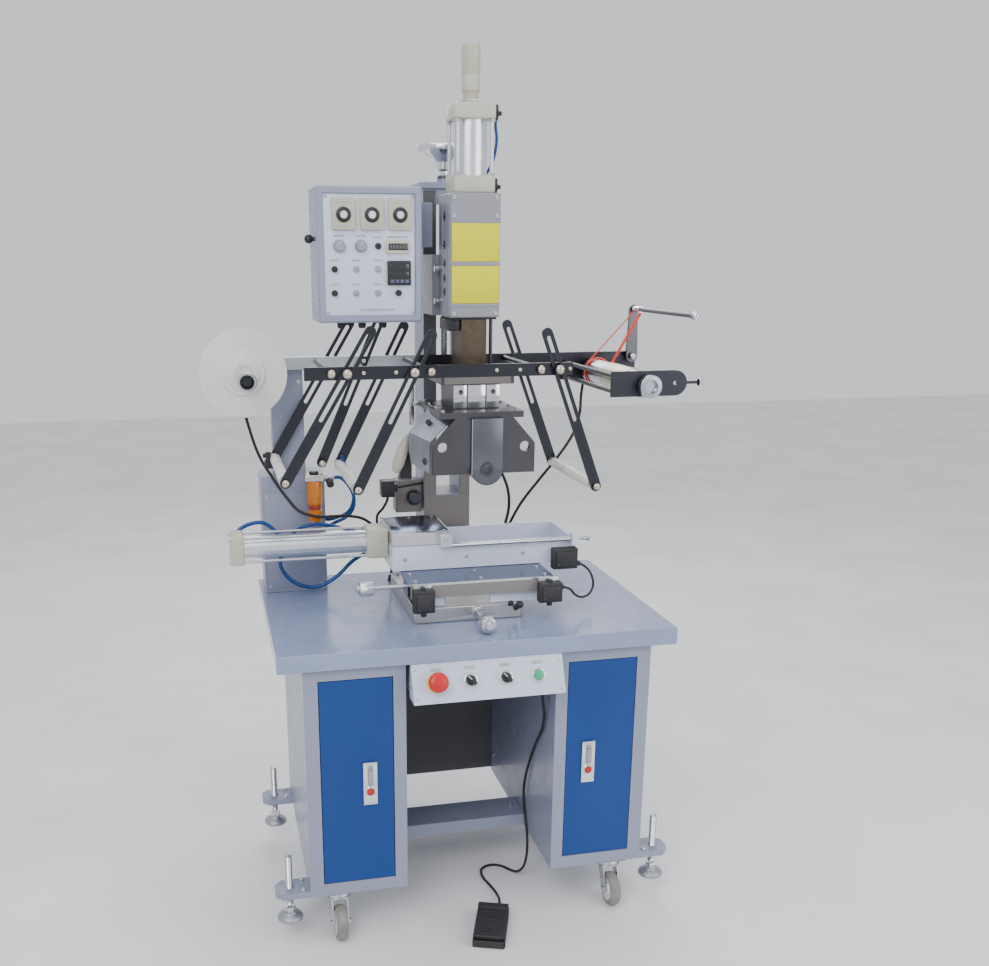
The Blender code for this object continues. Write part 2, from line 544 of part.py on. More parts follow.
def head_housing():
    """The head casting with its carriage block, which clamps to the column and holds the lift nut."""
    x, y, z = HEAD["x"], HEAD["y"], HEAD["z"]
    head = box("head_housing", x, y, z, "grey_paint", bevel=0.002)
    join(head, box("carriage_block", (COLUMN["x"][0], 0.076), (y[1] - 0.002, COLUMN["y"][0] - GAP),
                   (1.298, 1.425)),
         box("lift_nut_lug", (SLOT_X[0] + 0.004, SLOT_X[1] - 0.004), (COLUMN["y"][0] - 0.004, SCREW_Y + 0.020),
             (1.335, 1.385)),
         box("head_shoulder", (-0.010, 0.070), (y[1] - 0.002, COLUMN["y"][0] - 0.012), (1.530, z[1])))
    hx, hy = RAM_HALF
    cut(head, box("ram_way", (RAM_X - hx - GAP, RAM_X + hx + GAP), (RAM_Y - hy - GAP, RAM_Y + hy + GAP),
                  (z[0] - 0.01, RAM_TOP + 0.008)),
        rod("rod_way", (RAM_X, RAM_Y, RAM_TOP), (RAM_X, RAM_Y, z[1] + 0.01), ROD_R + 0.0005),
        rod("guide_way", (0.079, 0.0, z[0] - 0.01), (0.079, 0.0, 1.425), 0.0045, sides=12),
        rod("lift_nut_bore", (SCREW_X, SCREW_Y, 1.30), (SCREW_X, SCREW_Y, 1.40), SCREW_R + 0.0005))


def press_cylinder():
    low = HEAD["z"][1] + GAP
    x, y, half = RAM_X, RAM_Y - 0.002, CYL_HALF
    body = rod("press_cylinder", (x, y, low + 0.01), (x, y, CYL_TOP - 0.01), CYL_TUBE_R,
               "bright_steel", sides=28)
    cap = [(x - half, x + half), (y - half, y + half)]
    join(body, box("cylinder_base", *cap, (low, CYL_CAP_TOP), bevel=0.003),
         box("cylinder_cover", *cap, (CYL_TUBE_TOP, CYL_TOP), bevel=0.003))
    for sx in (-1, 1):
        for sy in (-1, 1):
            at = (x + sx * 0.036, y + sy * 0.036)
            join(body, rod(f"tie_rod_{sx}_{sy}", (*at, CYL_CAP_TOP - 0.01), (*at, CYL_TUBE_TOP + 0.01), 0.0045,
                           sides=8))
    for z in (middle((low, CYL_CAP_TOP)) - 0.003, middle((CYL_TUBE_TOP, CYL_TOP))):
        join(body, rod(f"flow_valve_{z:.2f}", (x + half - 0.003, y, z), (x + half + 0.024, y, z), 0.0075,
                       sides=12))
    cut(body, rod("piston_bore", (RAM_X, RAM_Y, low - 0.01), (RAM_X, RAM_Y, 1.676), ROD_R + 0.0005))
    turned("stroke_adjuster", [(0, MACHINE_TOP), (0.0175, MACHINE_TOP), (0.0195, MACHINE_TOP - 0.003),
                               (0.0195, 1.742), (0.0165, 1.740), (0.0165, CYL_TOP + GAP), (0, CYL_TOP + GAP)],
           (x, y, 0), "beige_paint", sides=28)


def ram():
    """The square ram, its piston rod above and the thin rod that keeps it from turning."""
    hx, hy = RAM_HALF
    low = 1.180 + GAP
    body = box("ram", (RAM_X - hx, RAM_X + hx), (RAM_Y - hy, RAM_Y + hy), (low, RAM_TOP), "brown_steel")
    join(body, rod("piston_rod", (RAM_X, RAM_Y, RAM_TOP - 0.01), (RAM_X, RAM_Y, 1.655), ROD_R))


def roller_yoke():
    """Mounting plates, heater block and bearing cheeks that carry the stamping roller."""
    x0 = ROLLER_X
    yoke = box("roller_yoke", (-0.043, 0.116), (-0.060, 0.096), (1.162, 1.180), "cast_aluminium")
    join(yoke, box("yoke_neck", (-0.012, 0.086), (-0.048, 0.080), (1.108, 1.163)),
         box("yoke_flange", (-0.055, 0.127), (YOKE_FRONT, YOKE_REAR), (1.096, 1.109)),
         box("heater_block", (x0 - 0.034, x0 + 0.034), (YOKE_FRONT + 0.002, YOKE_REAR - 0.002),
             (1.030, 1.097)))
    wing = [(-0.069, 0.978), (0.153, 0.978), (0.153, 1.041), (0.104, 1.0975), (-0.020, 1.0975),
            (-0.069, 1.041)]
    holes = [circle((-0.048, 1.042 - 0.006), 0.0110), circle((0.131, 1.040 - 0.006), 0.0110)]
    axle_hole = circle((x0, ROLLER_Z), 0.0085)
    upright = (math.radians(90), 0, 0)
    join(yoke, outline("front_wing", [wing, *holes], YOKE_PLATE, origin=(0, YOKE_FRONT + YOKE_PLATE / 2, 0),
                       turn=upright))
    cheek = [(x0 + 0.0345, 1.097), (x0 - 0.0345, 1.097)] + arc((x0, ROLLER_Z), 0.0345, 180, 360, 10)
    for name, y in {"front_cheek": YOKE_FRONT - 0.005, "rear_cheek": YOKE_REAR - 0.006}.items():
        join(yoke, outline(name, [cheek], 0.012, origin=(0, y, 0), turn=upright))
    cut(yoke, rod("axle_way", (x0, YOKE_FRONT - 0.03, ROLLER_Z), (x0, YOKE_REAR + 0.03, ROLLER_Z), 0.0085,
                  sides=16))
    join(yoke, rod("yoke_guide_rod", (0.079, 0.0, 1.175), (0.079, 0.0, 1.400), 0.004, sides=12))
    front, rear = YOKE_FRONT + YOKE_PLATE + 0.001, YOKE_REAR - YOKE_PLATE - 0.001
    turned("stamping_roller",
           [(0, YOKE_REAR + 0.002), (0.008, YOKE_REAR + 0.002), (0.008, rear), (ROLLER_R - 0.001, rear),
            (ROLLER_R, rear - 0.001), (ROLLER_R, front + 0.001), (ROLLER_R - 0.001, front), (0.008, front),
            (0.008, YOKE_FRONT - 0.013), (0, YOKE_FRONT - 0.013)],
           (x0, 0, ROLLER_Z), "red_rubber", "Y", 28)


def control_box():
    """The instrument box beside the head, with the bracket that bolts it to the column."""
    case = box("control_box", (-0.292, -0.076), (-0.030, 0.100), (1.290, 1.556), "grey_paint", bevel=0.003)
    join(case, box("box_bracket_side", (-0.080, COLUMN["x"][0] - GAP), (0.070, 0.095), (1.440, 1.530)),
         box("box_bracket_plate", (COLUMN["x"][0] - 0.012, COLUMN["x"][0] - GAP), (0.072, 0.250),
             (1.440, 1.530)))
    cut(case, box("control_box_recess", (-0.278, -0.090), (-0.040, -0.024), (1.304, 1.542)))


# ---------------------------------------------------------------- air supply
def valve_cabinet():
    """The sheet box for the air valves, with the post on it that holds the foil frame."""
    case = box("valve_cabinet", (-0.415, -0.270), (0.159, 0.260), (TABLE_TOP + GAP, 0.940), "grey_paint")
    join(case, box("frame_post", (-0.382, -0.309), (0.190, 0.240), (0.939, 1.206)),
         box("frame_lug", (-0.380, -0.311), (REAR_BAR["y"][1] + GAP, 0.191), REAR_BAR["z"]))
    cut(case, box("valve_cabinet_inside", (-0.412, -0.273), (0.162, 0.270), (TABLE_TOP + 0.004, 0.936)))


def air_filter_unit():
    """Filter and lubricator: metal head, amber bowl with a dark band, and its bracket."""
    x, y, back = -0.294, 0.128, 0.159 - GAP
    unit = turned("air_filter_unit",
                  [(0, 0.948), (0.012, 0.948), (0.012, 0.936), (0.019, 0.934), (0.020, 0.912), (0.0185, 0.905),
                   (0.0205, 0.900), (0.0205, 0.874), (0.017, 0.870), (0.017, 0.860), (0.0195, 0.856),
                   (0.0185, 0.838), (0.010, 0.832), (0, 0.832)], (x, y, 0), "amber_plastic", sides=20)
    join(unit, box("filter_head", (x - 0.034, x + 0.034), (y - 0.016, y + 0.016), (0.910, 0.932)),
         box("filter_bracket", (x - 0.014, x + 0.014), (y + 0.010, back), (0.908, 0.930)),
         rod("filter_outlet", (x + 0.03, y, 0.921), (x + 0.046, y, 0.921), 0.006, sides=12))


# ---------------------------------------------------------------- foil frame, arms, reels
def foil_frame():
    """The front and rear bars, their tie rods, the reel stub and the rewind unit's two plates."""
    frame = box("foil_frame", REAR_BAR["x"], REAR_BAR["y"], REAR_BAR["z"], "black_oxide")
    join(frame, box("front_bar", FRONT_BAR["x"], FRONT_BAR["y"], FRONT_BAR["z"]))
    reach = (FRONT_BAR["y"][0] - 0.006, REAR_BAR["y"][1] - 0.002)
    for x in (-0.281, -0.078, 0.154):
        join(frame, rod(f"frame_tie_{x}", (x, reach[0], BAR_Z), (x, reach[1], BAR_Z), 0.006, sides=12))
        join(frame, turned(f"frame_tie_nut_{x}", [(0, 0.004), (0.009, 0.004), (0.009, -0.002), (0.005, -0.006),
                                                   (0, -0.006)], (x, FRONT_BAR["y"][0] - 0.003, BAR_Z),
                           axis="Y", sides=12))
    for name, (x, _, _, _) in ARM_PAIRS.items():
        join(frame, clamp(f"{name}_front_clamp", x, FRONT_BAR["y"][0], -1),
             clamp(f"{name}_rear_clamp", x, REAR_BAR["y"][1], 1))
    join(frame, clamp("rear_arm_clamp", LONE_ARM[0], REAR_BAR["y"][0], -1))
    join(frame, rod("reel_stub", (REEL_X, REAR_BAR["y"][1] - 0.002, REEL_Z + 0.006),
                    (REEL_X, REAR_BAR["y"][0] - 0.02, REEL_Z + 0.006), 0.016, sides=16),
         rod("reel_shaft", (REEL_X, REAR_BAR["y"][0] + 0.005, REEL_Z), (REEL_X, REEL_FRONT + 0.010, REEL_Z),
             0.0105, sides=16))
    low, high = 1.143, 1.195
    plate_end = arc((0.428, middle((low, high))), (high - low) / 2, -90, 90, 10)
    holes = [circle((DRUM_X, DRUM_Z), 0.0070), circle((0.428, 1.169), 0.0045, 10)]
    front = [(0.288, low)] + plate_end + [(0.288, high)]
    upright = (math.radians(90), 0, 0)
    join(frame, outline("rewind_front_plate", [front, *holes], 0.008, origin=(0, -0.181, 0), turn=upright))
    rear = [(0.288, low), (0.478, low), (0.478, 1.206), (0.288, 1.206)]
    join(frame, outline("rewind_rear_plate", [rear, holes[0]], 0.010, origin=(0, 0.165, 0), turn=upright))
    for x, z in ((0.300, 1.184), (0.300, 1.152), (0.428, 1.152)):
        join(frame, rod(f"rewind_tie_{x}_{z}", (x, -0.180, z), (x, 0.166, z), 0.005, sides=10))
    join(frame, rod("thumb_screw", (0.450, -0.181, 1.169), (THUMB_TIP - 0.008, -0.181, 1.169), 0.003,
                    sides=10),
         rod("thumb_head", (THUMB_TIP - 0.010, -0.181, 1.169), (THUMB_TIP, -0.181, 1.169), 0.0075, sides=12),
         rod("pinch_pin", (PINCH_X, 0.166, PINCH_Z), (PINCH_X, 0.136, PINCH_Z), 0.0045, sides=10))


def clamp(name, x, face, out):
    """A stud with a round head, on which a slotted arm turns; out is +1 to the back, -1 to the front."""
    far = face + out * (2 * GAP + 0.002 + ARM_THICK)
    shank = -(abs(far - face) + 0.003)
    studs = turned(name, [(0, 0.0), (0.0035, 0.0), (0.0035, shank), (0.0095, shank), (0.0095, shank - 0.005),
                          (0.006, shank - 0.007), (0, shank - 0.007)],
                   (x, face - out * 0.002, BAR_Z), axis="Y", sides=10)
    if out > 0:
        studs.rotation_euler = (math.radians(90), 0, 0)
    return studs


def arm_plate(name, y, below, above, look, parent):
    edge = stadium(-below, above, ARM_WIDTH / 2)
    slot = stadium(-below * 0.42, above - 0.010, ARM_SLOT / 2)
    return outline(name, [edge, slot], ARM_THICK, look, origin=(0, y, 0), turn=(math.radians(90), 0, 0),
                   parent=parent)


def arm_holder(name, x, lean):
    holder = bpy.data.objects.new(f"{name}_pivot", None)
    holder.location = (x, 0, BAR_Z)
    holder.rotation_euler = (0, math.radians(lean), 0)
    holder.parent = MACHINE
    PARTS.objects.link(holder)
    return holder


def foil_arms():
    """Three pairs of slotted arms with a guide roller between each pair, and one arm alone."""
    for name, (x, lean, below, above) in ARM_PAIRS.items():
        holder = arm_holder(name, x, lean)
        pair = arm_plate(f"{name}_arm_pair", ARM_FRONT_Y, below, above, "black_oxide", holder)
        join(pair, arm_plate(f"{name}_rear_arm", ARM_REAR_Y, below, above, None, holder),
             rod(f"{name}_arm_shaft", (0, ARM_FRONT_Y - 0.006, -below), (0, ARM_REAR_Y + 0.006, -below),
                 ARM_SHAFT_R, sides=16, parent=holder))
        near, far = ARM_FRONT_Y + ARM_THICK / 2 + 0.001, ARM_REAR_Y - ARM_THICK / 2 - 0.001
        bore = ARM_SHAFT_R + 0.0004
        turned(f"{name}_guide_roller", [(bore, far), (GUIDE_R, far), (GUIDE_R, near), (bore, near)],
               (0, 0, -below), "white_plastic", "Y", 16, closed=True, parent=holder)
    x, lean, below, above = LONE_ARM
    holder = arm_holder("lone", x, lean)
    lone = arm_plate("rear_arm", LONE_ARM_Y, below, above, "black_oxide", holder)
    join(lone, rod("rear_arm_peg", (0, LONE_ARM_Y - 0.020, -below), (0, LONE_ARM_Y + 0.003, -below), 0.005,
                   sides=12, parent=holder))


def unwind_reel():
    disc, hub = REEL_Y, REEL_Y - 0.004
    turned("unwind_reel",
           [(REEL_BORE_R, disc), (REEL_R, disc), (REEL_R, hub), (0.046, hub), (0.046, hub - 0.006),
            (0.034, hub - 0.006), (0.034, hub - 0.016), (REEL_TUBE_R, hub - 0.016), (REEL_TUBE_R, REEL_FRONT),
            (REEL_BORE_R, REEL_FRONT)],
           (REEL_X, 0, REEL_Z), "white_plastic", "Y", 32, closed=True)


def rewind_drum():
    turned("rewind_drum",
           [(0, 0.190), (0.0065, 0.190), (0.0065, 0.138), (DRUM_R, 0.138), (DRUM_R, -0.170), (0.0065, -0.170),
            (0.0065, -0.190), (0.020, -0.190), (0.020, -0.208), (0.014, -0.209), (0.014, -0.203), (0, -0.203)],
           (DRUM_X, 0, DRUM_Z), "bright_steel", "Y", 28)


def pinch_lever():
    """The lever that presses a long rod on the wound foil."""
    edge = arc((0, 0), 0.014, 180, 360, 8) + arc((0, PINCH_REACH), 0.010, 0, 180, 8)
    lever = outline("pinch_lever", [edge, circle((0, 0), 0.0050, 12)], 0.008, "bright_steel",
                    origin=(PINCH_X, 0.148, PINCH_Z), turn=(math.radians(90), 0, 0))
    tip = PINCH_Z + PINCH_REACH
    join(lever, rod("pinch_rod", (PINCH_X, 0.150, tip), (PINCH_X, -0.175, tip), 0.005, sides=16),
         rod("pinch_knob", (PINCH_X, -0.172, tip), (PINCH_X, -0.190, tip), 0.0075, sides=16))


# ---------------------------------------------------------------- cross slides and work carriage
def xy_base():
    low = TABLE_TOP + GAP
    base = box("xy_base", (-0.120, 0.120), (-0.140, 0.150), (low, 0.6985), "cast_aluminium", bevel=0.002)
    join(base, box("xy_base_rail", (-0.050, 0.050), (-0.130, 0.140), (0.698, 0.7205)))
    cut(base, rod("y_screw_way", (Y_KNOB[0], -0.16, Y_KNOB[1]), (Y_KNOB[0], 0.02, Y_KNOB[1]), 0.0065,
                  sides=16))
    turned("y_feed_knob", [(0, -0.010), (0.006, -0.010), (0.006, -0.212), (0.018, -0.213), (0.018, -0.240),
                           (0.015, -0.245), (0.015, -0.247), (0, -0.247)],
           (Y_KNOB[0], 0, Y_KNOB[1]), "bright_steel", "Y", 24)


def cross_saddle():
    saddle = box("cross_saddle", (-0.083, 0.157), (-0.130, 0.130), (0.6988, 0.748), "cast_aluminium")
    cut(saddle, box("saddle_groove", (-0.0505, 0.0505), (-0.14, 0.14), (0.690, 0.7210)),
        rod("x_screw_way", (-0.10, X_KNOB[0], X_KNOB[1]), (0.03, X_KNOB[0], X_KNOB[1]), 0.0055, sides=16))


def x_table():
    """The top plate of the cross slides, with the bracket that holds its feed screw."""
    plate = box("x_table_plate", PLATE["x"], PLATE["y"], PLATE["z"], "bright_steel")
    join(plate, box("x_screw_bracket", (-0.131, -0.119), (-0.125, -0.075), (0.722, 0.750)))
    cut(plate, rod("x_bracket_bore", (-0.14, *X_KNOB), (-0.11, *X_KNOB), 0.0055, sides=16))
    turned("x_feed_knob", [(0, 0.010), (0.005, 0.010), (0.005, -0.199), (0.0165, -0.200), (0.0165, -0.232),
                           (0.013, -0.239), (0, -0.239)], (0, X_KNOB[0], X_KNOB[1]), "bright_steel", "X", 20)


def slide_housing():
    """The channel that the work carriage runs in, with the bush that guides the stop rod."""
    x, y, z = SLIDE["x"], SLIDE["y"], SLIDE["z"]
    wall = SLIDE_WALL
    body = box("slide_housing", x, y, z, "grey_paint", bevel=0.001)
    join(body, box("stop_bush", (x[1] - 0.016, x[1] - 0.002), (STOP_Y - 0.009, y[0] + 0.002), (0.798, 0.824)))
    cut(body, box("slide_channel", (x[0] + wall, x[1] - wall), (y[0] + wall, y[1] - wall),
                  (SLIDE_FLOOR, 0.85)),
        rod("piston_way", (x[0] - 0.01, CYLINDER_Y, 0.793), (x[0] + 0.02, CYLINDER_Y, 0.793), 0.0085,
            sides=16),
        rod("stop_way", (x[1] - 0.03, STOP_Y, STOP_Z), (x[1] + 0.02, STOP_Y, STOP_Z), STOP_R + 0.0005,
            sides=16))


def work_carriage():
    """The sliding work table with its piston rod and the stop rod clamped to its front."""
    x, y = CARRIAGE_X, SLIDE["y"]
    body = box("work_carriage", (SLIDE["x"][0] + SLIDE_WALL + GAP, x[1]),
               (y[0] + SLIDE_WALL + GAP, y[1] - SLIDE_WALL - GAP), (SLIDE_FLOOR + GAP, 0.812), "bright_steel")
    join(body, box("carriage_table", x, (y[0] + 0.003, y[1]), (SLIDE["z"][1] + GAP, CARRIAGE_TOP),
                   bevel=0.0015),
         box("stop_clamp", (-0.044, -0.018), (STOP_Y - 0.010, y[0] + 0.006), (0.8105, 0.836)),
         rod("stop_rod", (-0.036, STOP_Y, STOP_Z + 0.0), (0.272, STOP_Y, STOP_Z), STOP_R, sides=16),
         rod("stop_rod_tip", (0.271, STOP_Y, STOP_Z), (0.304, STOP_Y, STOP_Z), 0.003, sides=12),
         rod("piston_rod_x", (-0.135, CYLINDER_Y, 0.793), (-0.430, CYLINDER_Y, 0.793), 0.008, sides=16))


def air_cylinder():
    y, z = CYLINDER_Y, CYLINDER_Z
    body = rod("air_cylinder", (-0.485, y, z), (-0.160, y, z), CYLINDER_R, "bright_steel", sides=24)
    for name, x in {"rear_cap": (-0.495, -0.465), "front_cap": (-0.197, -0.1483)}.items():
        join(body, box(name, x, (y - 0.032, y + 0.032), (z - 0.033, z + 0.033), bevel=0.003))
    for sy in (-1, 1):
        for sz in (-1, 1):
            join(body, rod(f"slide_tie_{sy}_{sz}", (-0.47, y + sy * 0.026, z + sz * 0.026),
                           (-0.19, y + sy * 0.026, z + sz * 0.026), 0.0035, sides=8))
    cut(body, rod("cylinder_bore", (-0.14, y, 0.793), (-0.450, y, 0.793), 0.0086, sides=16))


HOSE_REAR = [
    (-0.480, 0.066, 0.822), (-0.481, 0.078, 0.826), (-0.472, 0.098, 0.838), (-0.448, 0.110, 0.846),
    (-0.420, 0.108, 0.842), (-0.396, 0.098, 0.822), (-0.384, 0.090, 0.790), (-0.380, 0.088, 0.758),
    (-0.366, 0.090, 0.728), (-0.338, 0.094, 0.710), (-0.305, 0.098, 0.706), (-0.272, 0.100, 0.716),
    (-0.244, 0.104, 0.732), (-0.214, 0.112, 0.744), (-0.184, 0.126, 0.752), (-0.156, 0.142, 0.760),
    (-0.136, 0.150, 0.772), (-0.124, 0.152, 0.782),
]
HOSE_FRONT = [
    (-0.172, 0.066, 0.822), (-0.174, 0.080, 0.826), (-0.190, 0.094, 0.834), (-0.222, 0.102, 0.842),
    (-0.262, 0.093, 0.848), (-0.300, 0.088, 0.846), (-0.334, 0.096, 0.834), (-0.350, 0.114, 0.814),
    (-0.340, 0.130, 0.796), (-0.308, 0.136, 0.788), (-0.266, 0.138, 0.788), (-0.222, 0.140, 0.792),
    (-0.178, 0.143, 0.796), (-0.146, 0.147, 0.797), (-0.124, 0.149, 0.797),
]


def slide_hoses():
    """Two air hoses from the slide cylinder's caps to the valve block on the slide's back."""
    block = box("slide_hoses", (-0.126, -0.050), (SLIDE["y"][1] + GAP, 0.165), (0.772, 0.806), "blue_plastic")
    join(block, as_mesh(tube("rear_cap_hose", HOSE_REAR, 0.004, 0.015)),
         as_mesh(tube("front_cap_hose", HOSE_FRONT, 0.004, 0.015)))


# ---------------------------------------------------------------- build everything
table_top()
for name, side in SIDES.items():
    cabinet(name, side)
    door(name, side)
    for end in ("front", "rear"):
        foot(f"{end}_{name}_foot", side * FOOT_X, FOOT_YS[end])
        caster(f"{end}_{name}", side * CASTER_X, CASTER_YS[end])
knee_space()
switch_panel()
pedal()
column()
lift_handwheel()
head_housing()
press_cylinder()
ram()
roller_yoke()
control_box()
valve_cabinet()
air_filter_unit()
foil_frame()
foil_arms()
unwind_reel()
rewind_drum()
pinch_lever()
xy_base()
cross_saddle()
x_table()
slide_housing()
work_carriage()
air_cylinder()
slide_hoses()
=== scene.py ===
"""Looks of the hot foil stamper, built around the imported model.

Lengths are in metres.  Positions are written from the middle of the table in plan and from the
floor in height, as in the part's own source, and PLAN moves them into the frame of the model.
"""
import json
import math

import bmesh
import bpy
from mathutils import Matrix, Vector

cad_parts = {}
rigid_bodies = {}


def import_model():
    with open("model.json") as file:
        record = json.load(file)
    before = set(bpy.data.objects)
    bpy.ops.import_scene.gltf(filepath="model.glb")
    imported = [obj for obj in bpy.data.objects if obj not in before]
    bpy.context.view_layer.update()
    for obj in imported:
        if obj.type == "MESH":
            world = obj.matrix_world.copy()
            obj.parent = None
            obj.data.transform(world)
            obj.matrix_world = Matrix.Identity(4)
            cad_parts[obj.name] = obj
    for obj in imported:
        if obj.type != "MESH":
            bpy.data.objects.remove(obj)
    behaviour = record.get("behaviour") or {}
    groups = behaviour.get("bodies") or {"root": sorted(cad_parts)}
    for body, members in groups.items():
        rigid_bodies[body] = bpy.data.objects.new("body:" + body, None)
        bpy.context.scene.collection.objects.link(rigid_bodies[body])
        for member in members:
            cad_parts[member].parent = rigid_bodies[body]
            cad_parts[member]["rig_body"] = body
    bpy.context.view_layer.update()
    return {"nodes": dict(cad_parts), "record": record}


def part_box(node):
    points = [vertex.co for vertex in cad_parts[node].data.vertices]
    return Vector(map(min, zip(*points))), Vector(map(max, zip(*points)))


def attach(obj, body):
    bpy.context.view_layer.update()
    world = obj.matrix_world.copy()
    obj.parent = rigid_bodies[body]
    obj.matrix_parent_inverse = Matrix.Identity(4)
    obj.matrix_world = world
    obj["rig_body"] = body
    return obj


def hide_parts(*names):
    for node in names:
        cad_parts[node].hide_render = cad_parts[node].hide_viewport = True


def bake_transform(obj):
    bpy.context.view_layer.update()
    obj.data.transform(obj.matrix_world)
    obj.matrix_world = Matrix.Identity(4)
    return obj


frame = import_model()

low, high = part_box("table_top")
PLAN = Vector(((low.x + high.x) / 2, (low.y + high.y) / 2, 0))
TABLE_Z = high.z
SLOTS = {part["node"]: part["material_slot"] for part in frame["record"]["subparts"]}


def span(node):
    """Lowest and highest corner of a node, from the middle of the table."""
    corner_low, corner_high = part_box(node)
    return corner_low - PLAN, corner_high - PLAN


def body_of(node):
    return frame["nodes"][node]["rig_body"]


# ---------------------------------------------------------------- camera and light
CAMERA_AT = (-0.544, -2.316, 1.421)
CAMERA_TURN = (90 - 16.64, 0, -12.42)


def camera_and_lights():
    lens = bpy.data.cameras.new("camera")
    lens.sensor_width = 36
    lens.lens = 39.7
    lens.shift_x, lens.shift_y = 0.0559, 0.1005
    camera = bpy.data.objects.new("camera", lens)
    camera.location = Vector(CAMERA_AT) + PLAN
    camera.rotation_euler = [math.radians(a) for a in CAMERA_TURN]
    bpy.context.scene.collection.objects.link(camera)
    bpy.context.scene.camera = camera
    lights = {
        "key": ((-1.6, -2.6, 2.9), 1.8, 62),
        "fill": ((2.2, -2.2, 1.8), 2.0, 34),
        "rear": ((0.6, 2.6, 2.8), 2.0, 40),
        "top": ((0.0, -0.2, 3.6), 2.4, 30),
    }
    for name, (place, size, power) in lights.items():
        lamp = bpy.data.lights.new(name, "AREA")
        lamp.size = size
        lamp.energy = power
        made = bpy.data.objects.new(name, lamp)
        made.location = place
        made.rotation_euler = (Vector((0, 0, 0.9)) - Vector(place)).to_track_quat("-Z", "Y").to_euler()
        bpy.context.scene.collection.objects.link(made)
    world = bpy.data.worlds.new("world")
    world.use_nodes = True
    world.node_tree.nodes["Background"].inputs["Color"].default_value = (0.95, 0.97, 1.0, 1)
    world.node_tree.nodes["Background"].inputs["Strength"].default_value = 0.9
    bpy.context.scene.world = world


# ---------------------------------------------------------------- materials
class Nodes:
    """A material's node tree, with short calls for the nodes used here."""

    def __init__(self, name):
        self.material = bpy.data.materials.new(name)
        self.material.use_nodes = True
        self.tree = self.material.node_tree
        self.shader = self.tree.nodes["Principled BSDF"]
        self.place = self.tree.nodes.new("ShaderNodeTexCoord").outputs["Object"]

    def link(self, source, target):
        self.tree.links.new(source, target)

    def mapped(self, scale=(1, 1, 1), location=(0, 0, 0)):
        node = self.tree.nodes.new("ShaderNodeMapping")
        node.inputs["Scale"].default_value = scale
        node.inputs["Location"].default_value = location
        self.link(self.place, node.inputs["Vector"])
        return node.outputs["Vector"]

    def noise(self, scale, detail=2.0, vector=None, rough=0.5):
        node = self.tree.nodes.new("ShaderNodeTexNoise")
        node.inputs["Scale"].default_value = scale
        node.inputs["Detail"].default_value = detail
        node.inputs["Roughness"].default_value = rough
        self.link(vector or self.place, node.inputs["Vector"])
        return node.outputs["Fac"]

    def ramp(self, value, stops):
        node = self.tree.nodes.new("ShaderNodeValToRGB")
        elements = node.color_ramp.elements
        while len(elements) < len(stops):
            elements.new(0.5)
        for element, (position, colour) in zip(elements, stops):
            element.position = position
            element.color = (*colour, 1)
        self.link(value, node.inputs["Fac"])
        return node.outputs["Color"]

    def spread(self, value, low, high):
        node = self.tree.nodes.new("ShaderNodeMapRange")
        node.inputs["From Min"].default_value = 0.3
        node.inputs["From Max"].default_value = 0.7
        node.inputs["To Min"].default_value = low
        node.inputs["To Max"].default_value = high
        self.link(value, node.inputs["Value"])
        return node.outputs["Result"]

    def mix(self, first, second, amount):
        node = self.tree.nodes.new("ShaderNodeMix")
        node.data_type = "RGBA"
        self.link(first, node.inputs["A"])
        self.link(second, node.inputs["B"])
        self.link(amount, node.inputs["Factor"])
        return node.outputs["Result"]

    def bump(self, height, strength, distance, before=None):
        node = self.tree.nodes.new("ShaderNodeBump")
        node.inputs["Strength"].default_value = strength
        node.inputs["Distance"].default_value = distance
        self.link(height, node.inputs["Height"])
        if before:
            self.link(before, node.inputs["Normal"])
        return node.outputs["Normal"]

    def done(self, colour, rough, normal, metallic=0.0, coat=0.0, specular=0.4):
        self.link(colour, self.shader.inputs["Base Color"])
        self.link(rough, self.shader.inputs["Roughness"])
        self.link(normal, self.shader.inputs["Normal"])
        self.shader.inputs["Metallic"].default_value = metallic
        self.shader.inputs["Coat Weight"].default_value = coat
        self.shader.inputs["Coat Roughness"].default_value = 0.12
        self.shader.inputs["Specular IOR Level"].default_value = specular
        return self.material


def shade(colour, factor):
    return tuple(min(1.0, channel * factor) for channel in colour)


def paint(name, colour, gloss=0.3, coat=0.25, chips=0.72):
    """Sprayed enamel: orange peel, uneven gloss, faint stains and a few chips down to primer."""
    n = Nodes(name)
    cloud = n.ramp(n.noise(2.5, 3), [(0.3, shade(colour, 0.93)), (0.7, shade(colour, 1.05))])
    chip = n.ramp(n.noise(55, 6, rough=0.7), [(chips, (0, 0, 0)), (chips + 0.03, (1, 1, 1))])
    primer = n.ramp(n.noise(200, 1), [(0.3, shade(colour, 0.45)), (0.7, shade(colour, 0.6))])
    peel = n.bump(n.noise(420, 2), 0.1, 0.0004)
    scuff = n.bump(n.noise(18, 8, n.mapped((1, 1, 6)), 0.65), 0.04, 0.0006, peel)
    return n.done(n.mix(cloud, primer, chip), n.spread(n.noise(30, 4), gloss - 0.07, gloss + 0.12),
        scuff, coat=coat)


def metal(name, colour, rough=0.28, along=(1, 1, 30), stain=0.85):
    """Ground or turned metal: fine tool marks along one direction and oily stains."""
    n = Nodes(name)
    lines = n.noise(60, 4, n.mapped(along), 0.6)
    cloud = n.ramp(n.noise(14, 5), [(0.32, shade(colour, stain)), (0.62, colour)])
    marks = n.ramp(lines, [(0.35, shade(colour, 0.86)), (0.65, shade(colour, 1.08))])
    half = n.ramp(n.noise(7, 2), [(0.3, (0.35, 0.35, 0.35)), (0.7, (0.65, 0.65, 0.65))])
    return n.done(n.mix(cloud, marks, half), n.spread(lines, rough - 0.05, rough + 0.08),
        n.bump(lines, 0.05, 0.0002), metallic=1.0)


